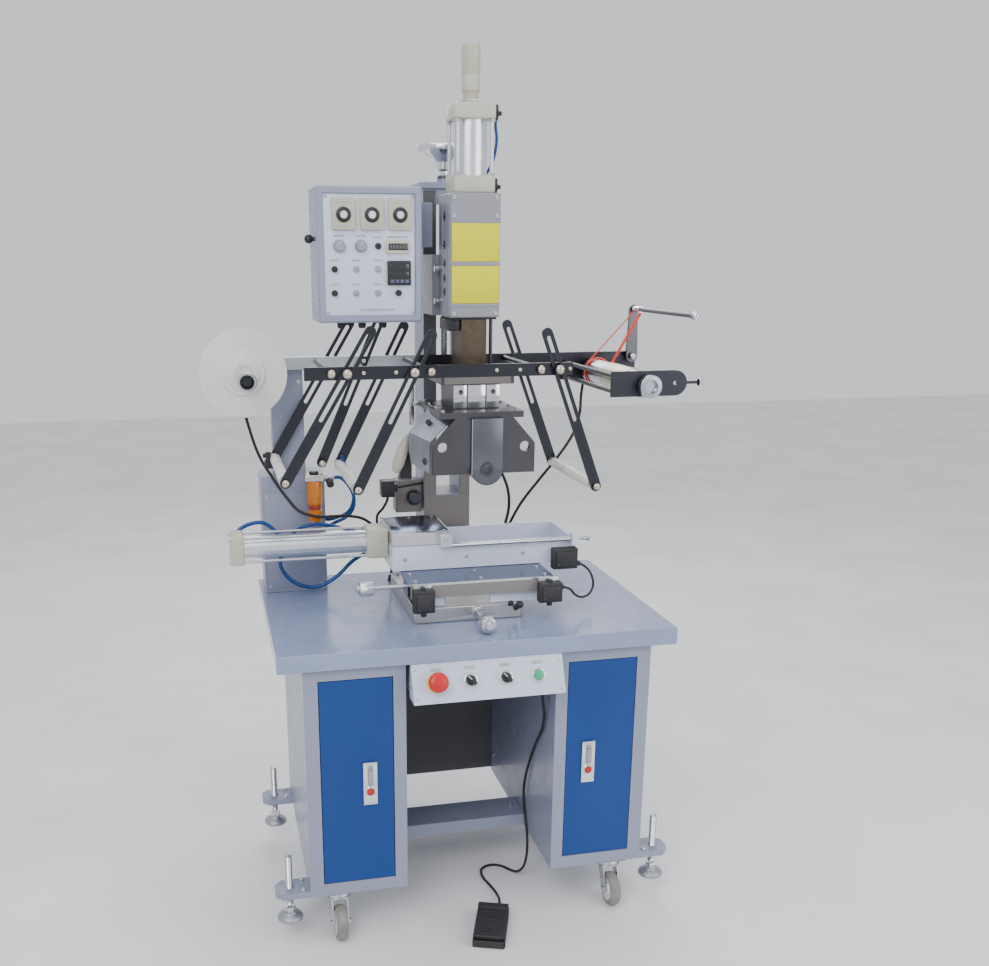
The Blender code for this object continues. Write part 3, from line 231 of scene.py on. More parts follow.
def plastic(name, colour, rough=0.45, grain=600, depth=0.15, coat=0.0):
    """Moulded plastic with a fine sparked grain and a little dust in it."""
    n = Nodes(name)
    texture = n.noise(grain, 3)
    cloud = n.ramp(n.noise(22, 4), [(0.3, shade(colour, 0.82)), (0.72, shade(colour, 1.12))])
    return n.done(cloud, n.spread(n.noise(45, 3), rough - 0.08, rough + 0.1),
        n.bump(texture, depth, 0.0003), coat=coat)


def rubber(name, colour, rough=0.75):
    n = Nodes(name)
    cloud = n.ramp(n.noise(35, 6, rough=0.7), [(0.3, shade(colour, 0.7)), (0.7, shade(colour, 1.2))])
    return n.done(cloud, n.spread(n.noise(80, 3), rough - 0.1, rough + 0.1), n.bump(n.noise(300, 4),
        0.25, 0.0005), specular=0.3)


def ringed(name, colour, centre, rough=0.4, pitch=260):
    """A turned face with fine rings round an axis along Y."""
    n = Nodes(name)
    wave = n.tree.nodes.new("ShaderNodeTexWave")
    wave.wave_type = "RINGS"
    wave.rings_direction = "Y"
    wave.inputs["Scale"].default_value = pitch
    wave.inputs["Distortion"].default_value = 0.6
    n.link(n.mapped(location=[-c for c in centre]), wave.inputs["Vector"])
    cloud = n.ramp(n.noise(9, 4), [(0.3, shade(colour, 0.9)), (0.7, shade(colour, 1.03))])
    band = n.ramp(wave.outputs["Fac"], [(0.2, shade(colour, 0.93)), (0.8, shade(colour, 1.02))])
    half = n.ramp(n.noise(5, 1), [(0.3, (0.3, 0.3, 0.3)), (0.7, (0.6, 0.6, 0.6))])
    return n.done(n.mix(cloud, band, half), n.spread(n.noise(40, 3), rough - 0.06, rough + 0.1),
        n.bump(wave.outputs["Fac"], 0.08, 0.0003))


MATERIALS = {}
# The record slot that a finish usually goes with.
SLOT_OF = {look: slot for slot, looks in {
    "bright_steel": "steel steel_x steel_y chrome satin sheet foil aluminium",
    "black_plastic": "black black_rough cable glass gasket grey_plastic",
    "red_plastic": "red dark_red",
    "white_plastic": "white_plastic paper gold_foil",
    "green_plastic": "green",
    "amber_plastic": "amber",
    "blue_hose": "hose",
    "red_rubber": "red_rubber band",
    "grey_rubber": "grey_rubber",
    "beige_enamel": "beige cream",
    "grey_enamel": "grey head",
    "panel_enamel": "white yellow label",
    "black_oxide": "dark_steel",
    "brown_steel": "grey_steel",
}.items() for look in looks.split()}


def finishes():
    """Every finish that is used, by the name the pieces ask for."""
    reel_low, reel_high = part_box("unwind_reel")
    reel = ((reel_low.x + reel_high.x) / 2, 0, (reel_low.z + reel_high.z) / 2)
    made = {
        "grey": paint("grey", (0.26, 0.285, 0.385), 0.33, 0.15, 0.84),
        "table": paint("table", (0.25, 0.3, 0.47), 0.17, 0.5, 0.84),
        "blue": paint("blue", (0.0, 0.042, 0.22), 0.36, 0.0, 0.86),
        "dark": paint("dark", (0.1, 0.1, 0.11), 0.5, 0.0),
        "white": paint("white", (0.62, 0.67, 0.8), 0.3, 0.1, 0.84),
        "head": paint("head", (0.26, 0.265, 0.305), 0.36, 0.1, 0.82),
        "beige": paint("beige", (0.46, 0.445, 0.36), 0.35, 0.1, 0.8),
        "cream": paint("cream", (0.5, 0.48, 0.4), 0.35, 0.1, 0.8),
        "taupe": paint("taupe", (0.22, 0.2, 0.195), 0.42, 0.1, 0.74),
        # Dark blue-grey rubber, used for the painted shadow gap round the control panel and for the
        # controller's keys.
        "gasket": rubber("gasket", (0.1, 0.125, 0.2), 0.5),
        "yellow": paint("yellow", (0.66, 0.64, 0.0), 0.6, 0.0, 0.9),
        "black_oxide": metal("black_oxide", (0.055, 0.056, 0.068), 0.33, (30, 1, 1)),
        "steel": metal("steel", (0.66, 0.67, 0.7), 0.25),
        "steel_x": metal("steel_x", (0.66, 0.67, 0.7), 0.24, (1, 30, 30)),
        "steel_y": metal("steel_y", (0.62, 0.63, 0.66), 0.24, (30, 1, 30)),
        "dark_steel": metal("dark_steel", (0.105, 0.105, 0.118), 0.34, (1, 1, 25)),
        "grey_steel": metal("grey_steel", (0.15, 0.15, 0.175), 0.33, (25, 1, 1)),
        "blue_steel": metal("blue_steel", (0.14, 0.175, 0.27), 0.2, (1, 25, 25), 0.8),
        "brown_steel": metal("brown_steel", (0.135, 0.105, 0.08), 0.36, (1, 30, 1), 0.75),
        "aluminium": metal("aluminium", (0.6, 0.59, 0.57), 0.34, (25, 1, 1)),
        "satin": metal("satin", (0.78, 0.8, 0.85), 0.3, (1, 1, 30)),
        "sheet": metal("sheet", (0.6, 0.63, 0.69), 0.3, (0.3, 0.3, 0.3), 0.93),
        "cast": metal("cast", (0.44, 0.45, 0.49), 0.48, (1, 1, 1), 0.8),
        "brass": metal("brass", (0.6, 0.54, 0.45), 0.28, (1, 1, 1), 0.85),
        "chrome": metal("chrome", (0.78, 0.79, 0.82), 0.1, (1, 1, 4), 0.92),
        "black": plastic("black", (0.02, 0.02, 0.024), 0.42),
        "black_rough": plastic("black_rough", (0.032, 0.032, 0.034), 0.6, 320, 0.45),
        "red": plastic("red", (0.6, 0.015, 0.015), 0.34, 900, 0.05, 0.1),
        "green": plastic("green", (0.04, 0.42, 0.2), 0.28, 900, 0.05, 0.4),
        "white_plastic": plastic("white_plastic", (0.74, 0.74, 0.71), 0.38, 500, 0.08),
        "grey_plastic": plastic("grey_plastic", (0.3, 0.32, 0.38), 0.35),
        "amber": plastic("amber", (0.6, 0.17, 0.0), 0.25, 200, 0.05, 0.3),
        "dark_red": plastic("dark_red", (0.3, 0.03, 0.015), 0.3, 300, 0.1, 0.3),
        "hose": plastic("hose", (0.0, 0.05, 0.22), 0.28, 500, 0.06, 0.2),
        "label": plastic("label", (0.4, 0.41, 0.45), 0.5, 700, 0.05),
        "glass": plastic("glass", (0.012, 0.014, 0.016), 0.1, 900, 0.02, 0.8),
        "grey_rubber": rubber("grey_rubber", (0.26, 0.25, 0.235)),
        "red_rubber": rubber("red_rubber", (0.33, 0.07, 0.035), 0.6),
        "band": rubber("band", (0.75, 0.06, 0.03), 0.5),
        "cable": rubber("cable", (0.018, 0.018, 0.02), 0.45),
        "paper": ringed("paper", (0.72, 0.71, 0.66), reel),
        "gold_foil": metal("gold_foil", (0.52, 0.5, 0.36), 0.3, (30, 1, 30), 0.85),
        "foil": metal("foil", (0.5, 0.52, 0.58), 0.24, (30, 1, 30), 0.8),
        "floor": paint("floor", (0.82, 0.82, 0.82), 0.6, 0.0, 0.97),
    }
    MATERIALS.update(made)


# ---------------------------------------------------------------- geometry
def turn_to(direction):
    """A turn that points the local Z axis along a direction."""
    return Vector(direction).to_track_quat("Z", "Y").to_matrix().to_4x4()


AXES = {"X": (1, 0, 0), "Y": (0, 1, 0), "Z": (0, 0, 1), "-X": (-1, 0, 0), "-Y": (0, -1, 0)}


def oblong(inner, outer, start, end):
    """A rectangular profile for the lathe: a disc from radius 0, or a ring when it is closed."""
    return [(inner, start), (outer, start), (outer, end), (inner, end)]


class Kit:
    """Gathers solids into one mesh, which becomes one piece."""

    def __init__(self):
        self.bm = bmesh.new()

    def take(self, bm, place=None):
        if place is not None:
            bmesh.ops.transform(bm, matrix=place, verts=bm.verts)
        mesh = bpy.data.meshes.new("taken")
        bm.to_mesh(mesh)
        bm.free()
        self.bm.from_mesh(mesh)
        bpy.data.meshes.remove(mesh)
        return self

    def box(self, x, y, z, bevel=0.0008, segments=2, place=None):
        bm = bmesh.new()
        bmesh.ops.create_cube(bm, size=1.0)
        bmesh.ops.scale(bm, vec=(x[1] - x[0], y[1] - y[0], z[1] - z[0]), verts=bm.verts)
        bmesh.ops.translate(bm, vec=((x[0] + x[1]) / 2, (y[0] + y[1]) / 2, (z[0] + z[1]) / 2),
            verts=bm.verts)
        if bevel:
            bmesh.ops.bevel(bm, geom=bm.edges[:], offset=bevel, segments=segments, affect="EDGES",
                profile=0.5, clamp_overlap=True)
        return self.take(bm, place)

    def lathe(self, profile, at=(0, 0, 0), axis="Z", steps=32, closed=False, flutes=0.0):
        """A turned solid from (radius, height) pairs; flutes cut grooves of that depth along it."""
        bm = bmesh.new()
        rings = []
        for i in range(steps):
            angle = 2 * math.pi * i / steps
            dip = flutes if i % 2 else 0.0
            rings.append([bm.verts.new(((r - (dip if r > 4 * flutes else 0)) * math.cos(angle),
                (r - (dip if r > 4 * flutes else 0)) * math.sin(angle), h)) for r, h in profile])
        pairs = len(profile) if closed else len(profile) - 1
        for ring, after in zip(rings, rings[1:] + rings[:1]):
            for j in range(pairs):
                k = (j + 1) % len(profile)
                bm.faces.new((ring[j], after[j], after[k], ring[k]))
        bmesh.ops.remove_doubles(bm, verts=bm.verts, dist=0.000002)
        bmesh.ops.recalc_face_normals(bm, faces=bm.faces)
        direction = AXES.get(axis, axis)
        return self.take(bm, Matrix.Translation(Vector(at)) @ turn_to(direction))

    def rod(self, start, end, radius, steps=20, chamfer=0.0006):
        start, end = Vector(start), Vector(end)
        length = (end - start).length
        edge = min(chamfer, radius / 3, length / 3)
        profile = [(0, 0), (radius - edge, 0), (radius, edge), (radius, length - edge),
            (radius - edge, length), (0, length)]
        return self.lathe(profile, start, tuple((end - start) / length), steps)

    def bolt(self, at, axis, radius, height, steps=16):
        """A socket head screw whose axis points out of the surface."""
        socket = radius * 0.5
        return self.lathe([(0, height * 0.45), (socket, height * 0.45), (socket, height),
            (radius * 0.9, height), (radius, height * 0.85), (radius, -0.001), (0, -0.001)],
            at, axis, steps)

    def dome(self, at, axis, radius, height, steps=20):
        return self.lathe([(0, height), (radius * 0.45, height * 0.94), (radius * 0.8, height * 0.66),
            (radius, height * 0.2), (radius, -0.001), (0, -0.001)], at, axis, steps)

    def nut(self, at, axis, radius, height):
        return self.lathe([(0, height), (radius * 0.8, height), (radius, height * 0.85), (radius, -0.001),
            (0, -0.001)], at, axis, 6)

    def ball(self, centre, radius, steps=20):
        rings = 8
        arc = [(radius * math.sin(math.pi * i / rings), -radius * math.cos(math.pi * i / rings))
            for i in range(rings + 1)]
        arc[0], arc[-1] = (0, -radius), (0, radius)
        return self.lathe(arc, centre, "Z", steps)

    def sheet(self, corners, thick):
        """A thin bent strip through a row of edges, each edge given by its two ends."""
        bm = bmesh.new()
        rows = [[bm.verts.new(p) for p in edge] for edge in corners]
        for a, b in zip(rows, rows[1:]):
            bm.faces.new((a[0], a[1], b[1], b[0]))
        bmesh.ops.recalc_face_normals(bm, faces=bm.faces)
        bmesh.ops.solidify(bm, geom=bm.faces[:], thickness=thick)
        bmesh.ops.recalc_face_normals(bm, faces=bm.faces)
        return self.take(bm)

    def piece(self, name, body, look, stands_for=(), slot=None, place=None):
        """Make the piece, give it its finish and let it ride on a body."""
        mesh = bpy.data.meshes.new(name)
        if place is not None:
            bmesh.ops.transform(self.bm, matrix=place, verts=self.bm.verts)
        bmesh.ops.translate(self.bm, vec=PLAN, verts=self.bm.verts)
        self.bm.to_mesh(mesh)
        self.bm.free()
        mesh.shade_smooth()
        mesh.set_sharp_from_angle(angle=math.radians(35))
        return settle(bpy.data.objects.new(name, mesh), body, look, stands_for, slot)


def settle(made, body, look, stands_for=(), slot=None):
    bpy.context.scene.collection.objects.link(made)
    made.data.materials.clear()
    made.data.materials.append(MATERIALS[look])
    if isinstance(body, tuple):
        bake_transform(made)
    else:
        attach(made, body)
    slot = slot or SLOT_OF.get(look)
    if stands_for:
        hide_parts(*stands_for)
    return made


def refine(node, look, bevel=0.0008, angle=35):
    """A node's own shape with welded, softened edges and smooth round faces."""
    source = frame["nodes"][node]
    bm = bmesh.new()
    bm.from_mesh(source.data)
    bmesh.ops.remove_doubles(bm, verts=bm.verts, dist=0.000005)
    bmesh.ops.dissolve_limit(bm, angle_limit=math.radians(0.5), verts=bm.verts, edges=bm.edges)
    mesh = bpy.data.meshes.new(node + "_shell")
    bm.to_mesh(mesh)
    bm.free()
    mesh.shade_smooth()
    mesh.set_sharp_from_angle(angle=math.radians(angle))
    made = settle(bpy.data.objects.new(node + "_shell", mesh), body_of(node), look, (node,), SLOTS[node])
    if bevel:
        rounding = made.modifiers.new("edges", "BEVEL")
        rounding.width = bevel
        rounding.segments = 2
        rounding.limit_method = "ANGLE"
        rounding.angle_limit = math.radians(angle + 5)
        rounding.harden_normals = True
    return made


def smooth_route(points, spacing):
    """Points every so often along a smooth curve through the given ones."""
    points = [Vector(p) for p in points]
    ends = [points[0] * 2 - points[1]] + points + [points[-1] * 2 - points[-2]]
    dense = []
    for before, here, after, beyond in zip(ends, ends[1:], ends[2:], ends[3:]):
        for i in range(20):
            t = i / 20
            dense.append(0.5 * (2 * here + (after - before) * t + (2 * before - 5 * here
                + 4 * after - beyond) * t * t + (3 * here - before - 3 * after + beyond) * t ** 3))
    dense.append(points[-1])
    length = sum((b - a).length for a, b in zip(dense, dense[1:]))
    count = max(2, round(length / spacing))
    step, travelled, route = length / count, 0.0, [dense[0]]
    for a, b in zip(dense, dense[1:]):
        reach = (b - a).length
        while len(route) < count and travelled + reach >= step * len(route):
            route.append(a.lerp(b, (step * len(route) - travelled) / reach))
        travelled += reach
    return route + [dense[-1]]


def cable(name, points, radius, body, look, spacing=0.006, stands_for=()):
    """A round cable or hose along a smooth route."""
    curve = bpy.data.curves.new(name, "CURVE")
    curve.dimensions = "3D"
    curve.bevel_depth = radius
    curve.bevel_resolution = 4
    curve.use_fill_caps = True
    spline = curve.splines.new("POLY")
    route = [p + PLAN for p in smooth_route(points, spacing)]
    spline.points.add(len(route) - 1)
    for point, place in zip(spline.points, route):
        point.co = (*place, 1)
    spline.use_smooth = True
    return settle(bpy.data.objects.new(name, curve), body, look, stands_for)


# ---------------------------------------------------------------- nodes that keep their shape
def shells():
    """The nodes whose own shape stays, with softened edges and a better finish."""
    looks = {
        "grey": ("left_cabinet", "right_cabinet", "cross_beam", "valve_cabinet", "column", "control_box"),
        "blue": ("left_door", "right_door"),
        "dark": ("knee_back_panel",),
        "head": ("head_housing",),
        "white": ("switch_panel", "slide_housing", "cross_saddle"),
        "aluminium": ("xy_base",),
        "brown_steel": ("ram",),
        "blue_steel": ("x_table_plate",),
        "grey_steel": ("pinch_lever",),
        "black_oxide": ("foil_frame", "outer_arm_pair", "inner_arm_pair", "right_arm_pair", "rear_arm"),
    }
    for look, nodes in looks.items():
        for node in nodes:
            refine(node, look)
    refine("table_top", "table", 0.0)
    refine("roller_yoke", "dark_steel", 0.0012)
    refine("work_carriage", "steel_x", 0.0012)
    for node in [name for name in frame["nodes"] if name.endswith("_caster_fork")]:
        refine(node, "steel", 0.0006)


# ---------------------------------------------------------------- stand: doors, feet, casters
def stand():
    """Trim of the cabinets and the beam between them, the feet and the casters."""
    for side, sign in (("left", -1), ("right", 1)):
        latch(side)
        trim = Kit()
        for y in (-0.235, 0.195):
            for dy in (-0.02, 0.02):
                trim.bolt((sign * 0.388, y + dy, 0.122), "Z", 0.005, 0.005)
        trim.piece(f"{side}_bracket_bolts", "machine", "steel")
        inner = Kit()
        for z in (0.16, 0.36, 0.56):
            inner.bolt((sign * 0.162, 0.225, z), (-sign, 0, 0), 0.006, 0.003)
        inner.piece(f"{side}_panel_bolts", "machine", "steel")
    for node in [name for name in frame["nodes"] if name.endswith("_foot")]:
        foot(node)
    for node in [name for name in frame["nodes"] if name.endswith("_caster_wheel")]:
        wheel(node)
    beam = Kit()
    for x in (-0.14, 0.14):
        beam.bolt((x, -0.018, 0.138), "Z", 0.006, 0.004)
    beam.piece("beam_bolts", "machine", "steel")


def latch(side):
    """Bright latch plate with a sunk push button, a raised grip and a key slot."""
    low, high = span(f"{side}_latch_button")
    x, z, face = (low.x + high.x) / 2, (low.z + high.z) / 2, low.y + 0.0035
    plate = Kit()
    bore = 0.0088
    for lo_z, hi_z in ((z - 0.0306, z - bore), (z + bore, z + 0.0666)):
        plate.box((x - 0.0148, x + 0.0148), (face - 0.0008, face + 0.0032), (lo_z, hi_z), 0.0008)
    for lo_x, hi_x in ((x - 0.0148, x - bore), (x + bore, x + 0.0148)):
        plate.box((lo_x, hi_x), (face - 0.0008, face + 0.0032), (z - bore - 0.0005, z + bore + 0.0005),
            0.0004)
    plate.lathe([(0.0085, 0), (0.0085, 0.0024), (0.0105, 0.0024), (0.0115, 0.0014), (0.0115, 0)],
        (x, face, z), "-Y", 32, closed=True)
    plate.piece(f"{side}_latch_plate", f"{side}_door", "chrome")
    grip = Kit().box((x - 0.0058, x + 0.0058), (face - 0.0062, face + 0.0005), (z + 0.015, z + 0.059),
        0.0022, 3)
    grip.lathe([(0.0026, 0.0008), (0.0042, 0.0008), (0.0046, 0), (0.0026, 0)],
        (x, face - 0.0061, z + 0.052), "-Y", 28, closed=True)
    grip.piece(f"{side}_latch_grip", f"{side}_door", "cast", slot="bright_steel")
    Kit().box((x - 0.0006, x + 0.0006), (face - 0.0066, face - 0.006), (z + 0.05, z + 0.054),
        0.0001).piece(f"{side}_key_slot", f"{side}_door", "black")
    Kit().lathe([(0, 0), (0.006, 0), (0.0074, 0.0012), (0.0078, 0.003), (0.0078, 0.0215), (0, 0.0215)],
        (x, low.y, z), "Y", 32).piece(f"{side}_latch_push_button", f"{side}_latch", "red",
        (f"{side}_latch_button",))


def foot(node):
    """Threaded stud with a lock nut and a wide swivel pad."""
    low, high = span(node)
    x, y = (low.x + high.x) / 2, (low.y + high.y) / 2
    stud = Kit()
    pitch, bottom, top = 0.0025, low.z + 0.034, high.z - 0.0012
    thread = [(0, bottom), (0.0066, bottom)]
    for i in range(int((top - bottom) / pitch)):
        z = bottom + i * pitch
        thread += [(0.0067, z + pitch * 0.25), (0.0079, z + pitch * 0.6)]
    stud.lathe(thread + [(0.006, top), (0, top + 0.0008)], (x, y, 0), "Z", 20)
    stud.lathe([(0, low.z + 0.018), (0.0125, low.z + 0.018), (0.0125, low.z + 0.029),
        (0.0112, low.z + 0.0305), (0, low.z + 0.0305)], (x, y, 0), "Z", 6)
    stud.piece(node + "_stud", body_of(node), "steel", slot="machined_aluminium")
    Kit().lathe([(0, low.z), (0.0262, low.z), (0.0274, low.z + 0.0015), (0.0274, low.z + 0.006),
        (0.025, low.z + 0.0095), (0.015, low.z + 0.014), (0.0128, low.z + 0.0165), (0.0124, low.z + 0.0185),
        (0, low.z + 0.0185)], (x, y, 0), "Z", 44).piece(node + "_pad", body_of(node), "cast", (node,),
        slot="machined_aluminium")


def wheel(node):
    """Rubber tread on a pressed wheel, with the axle's nuts and the swivel's ball race."""
    low, high = span(node)
    x, y, r = (low.x + high.x) / 2, (low.y + high.y) / 2, (high.z - low.z) / 2
    z, half = (low.z + high.z) / 2, (high.x - low.x) / 2
    Kit().lathe([(0.0255, half - 0.002), (r - 0.0045, half - 0.001), (r - 0.0015, half - 0.0035),
        (r, half - 0.007), (r, -half + 0.007), (r - 0.0015, -half + 0.0035), (r - 0.0045, -half + 0.001),
        (0.0255, -half + 0.002)], (x, y, z), "X", 56, closed=True).piece(node + "_tread", body_of(node),
        "grey_rubber", (node,))
    Kit().lathe([(0.0252, half - 0.0012), (0.0262, half - 0.0012), (0.0262, -half + 0.0012),
        (0.0252, -half + 0.0012), (0.0225, -half + 0.005), (0.0125, -half + 0.005),
        (0.0105, -half + 0.0015), (0.0044, -half + 0.0015), (0.0044, half - 0.0015),
        (0.0105, half - 0.0015), (0.0125, half - 0.005), (0.0225, half - 0.005)], (x, y, z), "X",
        48, closed=True).piece(node + "_rim", body_of(node), "white_plastic", slot="grey_rubber")
    fork = node.replace("wheel", "fork")
    fork_low, fork_high = span(fork)
    trim = Kit()
    for sign in (-1, 1):
        trim.nut(((fork_low.x + fork_high.x) / 2 + sign * 0.0181, y, z), (sign, 0, 0), 0.0068, 0.0045)
    race_z = fork_high.z - 0.0105
    trim.lathe([(0.0255, race_z - 0.0012), (0.0288, race_z), (0.0255, race_z + 0.0012), (0.022, race_z)],
        (x, y + 0.03, 0), "Z", 40, closed=True)
    trim.piece(fork + "_trim", body_of(fork), "steel")


# ---------------------------------------------------------------- switches and pedal
def switches():
    """Round switch bodies, made square to the sloping face."""
    stop_x, left_x, right_x, start_x = spots = (-0.104, -0.033, 0.042, 0.112)
    slope = math.atan2(0.035, 0.0757)
    face_y, face_z = -0.2955, 0.58885
    out = Vector((0, -math.cos(slope), math.sin(slope)))
    up = Vector((0, math.sin(slope), math.cos(slope)))

    def on_face(x, across=0.0, lift=0.0):
        return Vector((x, face_y, face_z)) + up * across + out * lift

    rings = Kit()
    for x in spots:
        rings.lathe([(0.0106, -0.001), (0.015, -0.001), (0.015, 0.003), (0.014, 0.005), (0.0124, 0.0056),
            (0.0106, 0.0052)], on_face(x), tuple(out), 44, closed=True)
    rings.piece("switch_bezels", "machine", "chrome", slot="panel_enamel")
    Kit().lathe(oblong(0.0152, 0.0205, -0.0005, 0.0008), on_face(stop_x), tuple(out),
        44, closed=True).piece("e_stop_collar", "machine", "yellow")
    Kit().lathe([(0, -0.014), (0.01, -0.014), (0.01, 0.0135), (0.0165, 0.0145), (0.02, 0.0165),
        (0.021, 0.0195), (0.0203, 0.0232), (0.0175, 0.0262), (0.011, 0.0279), (0, 0.0285)], on_face(stop_x),
        tuple(out), 56).piece("e_stop_mushroom", "e_stop", "red", ("e_stop_button",))
    Kit().lathe([(0, -0.014), (0.01, -0.014), (0.01, 0.0088), (0.0092, 0.01), (0.006, 0.0105), (0, 0.0107)],
        on_face(start_x), tuple(out), 44).piece("start_cap", "start", "green", ("start_button",))
    for side, x in (("left", left_x), ("right", right_x)):
        place = Matrix.Translation(on_face(x)) @ turn_to(out)
        along = turn_to(out).inverted() @ up
        lean = math.atan2(along.y, along.x) + math.radians(42)
        grip_place = place @ Matrix.Rotation(lean, 4, "Z")
        knob = Kit().lathe([(0, -0.014), (0.01, -0.014), (0.01, 0.0066), (0.0098, 0.008), (0.0088, 0.0086),
            (0, 0.0086)], on_face(x), tuple(out), 44)
        knob.box((-0.0122, 0.0122), (-0.0043, 0.0043), (0.006, 0.0178), 0.0016, 3, grip_place)
        knob.piece(f"{side}_selector_knob", f"{side}_selector", "black", (f"{side}_selector",))
        Kit().box((0.0015, 0.0115), (-0.0008, 0.0008), (0.0174, 0.01815),
            0.0002, 1, grip_place).piece(f"{side}_selector_line", f"{side}_selector", "white_plastic")
    marks = Kit()
    for x in spots:
        place = Matrix.Translation(on_face(x, 0.0268)) @ turn_to(out)
        along = turn_to(out).inverted() @ up
        marks.box((-0.0032, 0.0032), (-0.011, 0.011), (-0.0002, 0.0005),
            0.0002, 1, place @ Matrix.Rotation(math.atan2(along.y, along.x), 4, "Z"))
    marks.piece("switch_labels", "machine", "label")
    screws = Kit()
    for x in (-0.147, 0.16):
        for across in (-0.03, 0.03):
            screws.bolt(on_face(x, across), tuple(out), 0.0035, 0.0015)
    screws.piece("switch_panel_screws", "machine", "steel")


CABLE_ROUTE = [
    (0.144, -0.225, 0.54), (0.144, -0.225, 0.529), (0.1446, -0.2252, 0.514),
    (0.147, -0.225, 0.493), (0.152, -0.22, 0.46), (0.155, -0.195, 0.415),
    (0.156, -0.155, 0.368), (0.1565, -0.115, 0.31), (0.1565, -0.082, 0.25),
    (0.1562, -0.07, 0.205), (0.1558, -0.079, 0.166), (0.155, -0.1, 0.133),
    (0.153, -0.119, 0.1), (0.149, -0.129, 0.066), (0.143, -0.126, 0.035),
    (0.134, -0.11, 0.013), (0.123, -0.088, 0.005), (0.108, -0.065, 0.0036),
    (0.09, -0.054, 0.0036), (0.07, -0.056, 0.0036), (0.055, -0.068, 0.0036),
    (0.05, -0.088, 0.0036), (0.051, -0.111, 0.0036), (0.0565, -0.135, 0.0036),
    (0.0615, -0.162, 0.004), (0.063, -0.19, 0.0058), (0.06, -0.214, 0.0085),
    (0.0542, -0.2308, 0.0095), (0.0503, -0.2416, 0.0095),
]


def pedal():
    """Foot switch: ribbed treadle, hinge cover and cable with its strain reliefs."""
    place = Matrix.Translation((0.014, -0.312, 0)) @ Matrix.Rotation(math.radians(-20), 4, "Z")
    half_w, half_l = 0.035, 0.064
    base = Kit().box((-half_w, half_w), (-half_l, half_l), (0.0002, 0.01), 0.003, 3)
    for x0, x1 in ((-half_w, -half_w + 0.004), (half_w - 0.004, half_w)):
        base.box((x0, x1), (-half_l, half_l), (0.006, 0.018), 0.0015, 2)
    base.box((-half_w, half_w), (-half_l, -half_l + 0.004), (0.006, 0.018), 0.0015, 2)
    base.box((-half_w, half_w), (half_l - 0.006, half_l), (0.006, 0.0235), 0.0015, 2)
    base.rod((-half_w + 0.003, half_l - 0.012, 0.0205), (half_w - 0.003, half_l - 0.012, 0.0205), 0.0036)
    relief = [(0, -0.004), (0.0062, -0.004), (0.0062, 0.002)]
    for i in range(5):
        z, r = 0.003 + i * 0.0025, 0.006 - i * 0.0005
        relief += [(r - 0.0012, z), (r - 0.0012, z + 0.0008), (r, z + 0.001), (r - 0.0003, z + 0.002)]
    Kit().lathe(relief + [(0.0036, 0.0155), (0, 0.0155)], (0.01, half_l - 0.0015, 0.0095), "Y",
        24).piece("pedal_cable_boot", "machine", "black_rough", place=place)
    base.piece("pedal_housing", "machine", "black_rough", ("pedal_base",), place=place)
    tread = Kit().box((-half_w + 0.001, half_w - 0.001), (-half_l + 0.001, half_l - 0.024), (0.0262, 0.03),
        0.0018, 3)
    tread.box((-half_w + 0.001, half_w - 0.001), (half_l - 0.0235, half_l - 0.003), (0.0262, 0.0335),
        0.002, 3)
    for i in range(9):
        y = -half_l + 0.012 + i * 0.0098
        tread.box((-half_w + 0.007, half_w - 0.007), (y, y + 0.0042), (0.0292, 0.0316), 0.001, 2)
    tread.box((-half_w + 0.006, half_w - 0.006), (-half_l + 0.006, half_l - 0.045), (0.0182, 0.0268),
        0.001, 2)
    tread.piece("pedal_tread_plate", "treadle", "black_rough", ("pedal_treadle",), place=place)
    Kit().lathe([(0.004, 0.5335), (0.0058, 0.532), (0.0072, 0.534), (0.0078, 0.54), (0.0078, 0.546),
        (0.01, 0.5465), (0.01, 0.5512), (0.0036, 0.5512)], (CABLE_ROUTE[0][0], CABLE_ROUTE[0][1], 0), "Z",
        24, closed=True).piece("cable_gland_nut", "machine", "black")
    cord = cable("pedal_cord", CABLE_ROUTE, 0.003, "machine", "cable", 0.008, ("pedal_cable",))


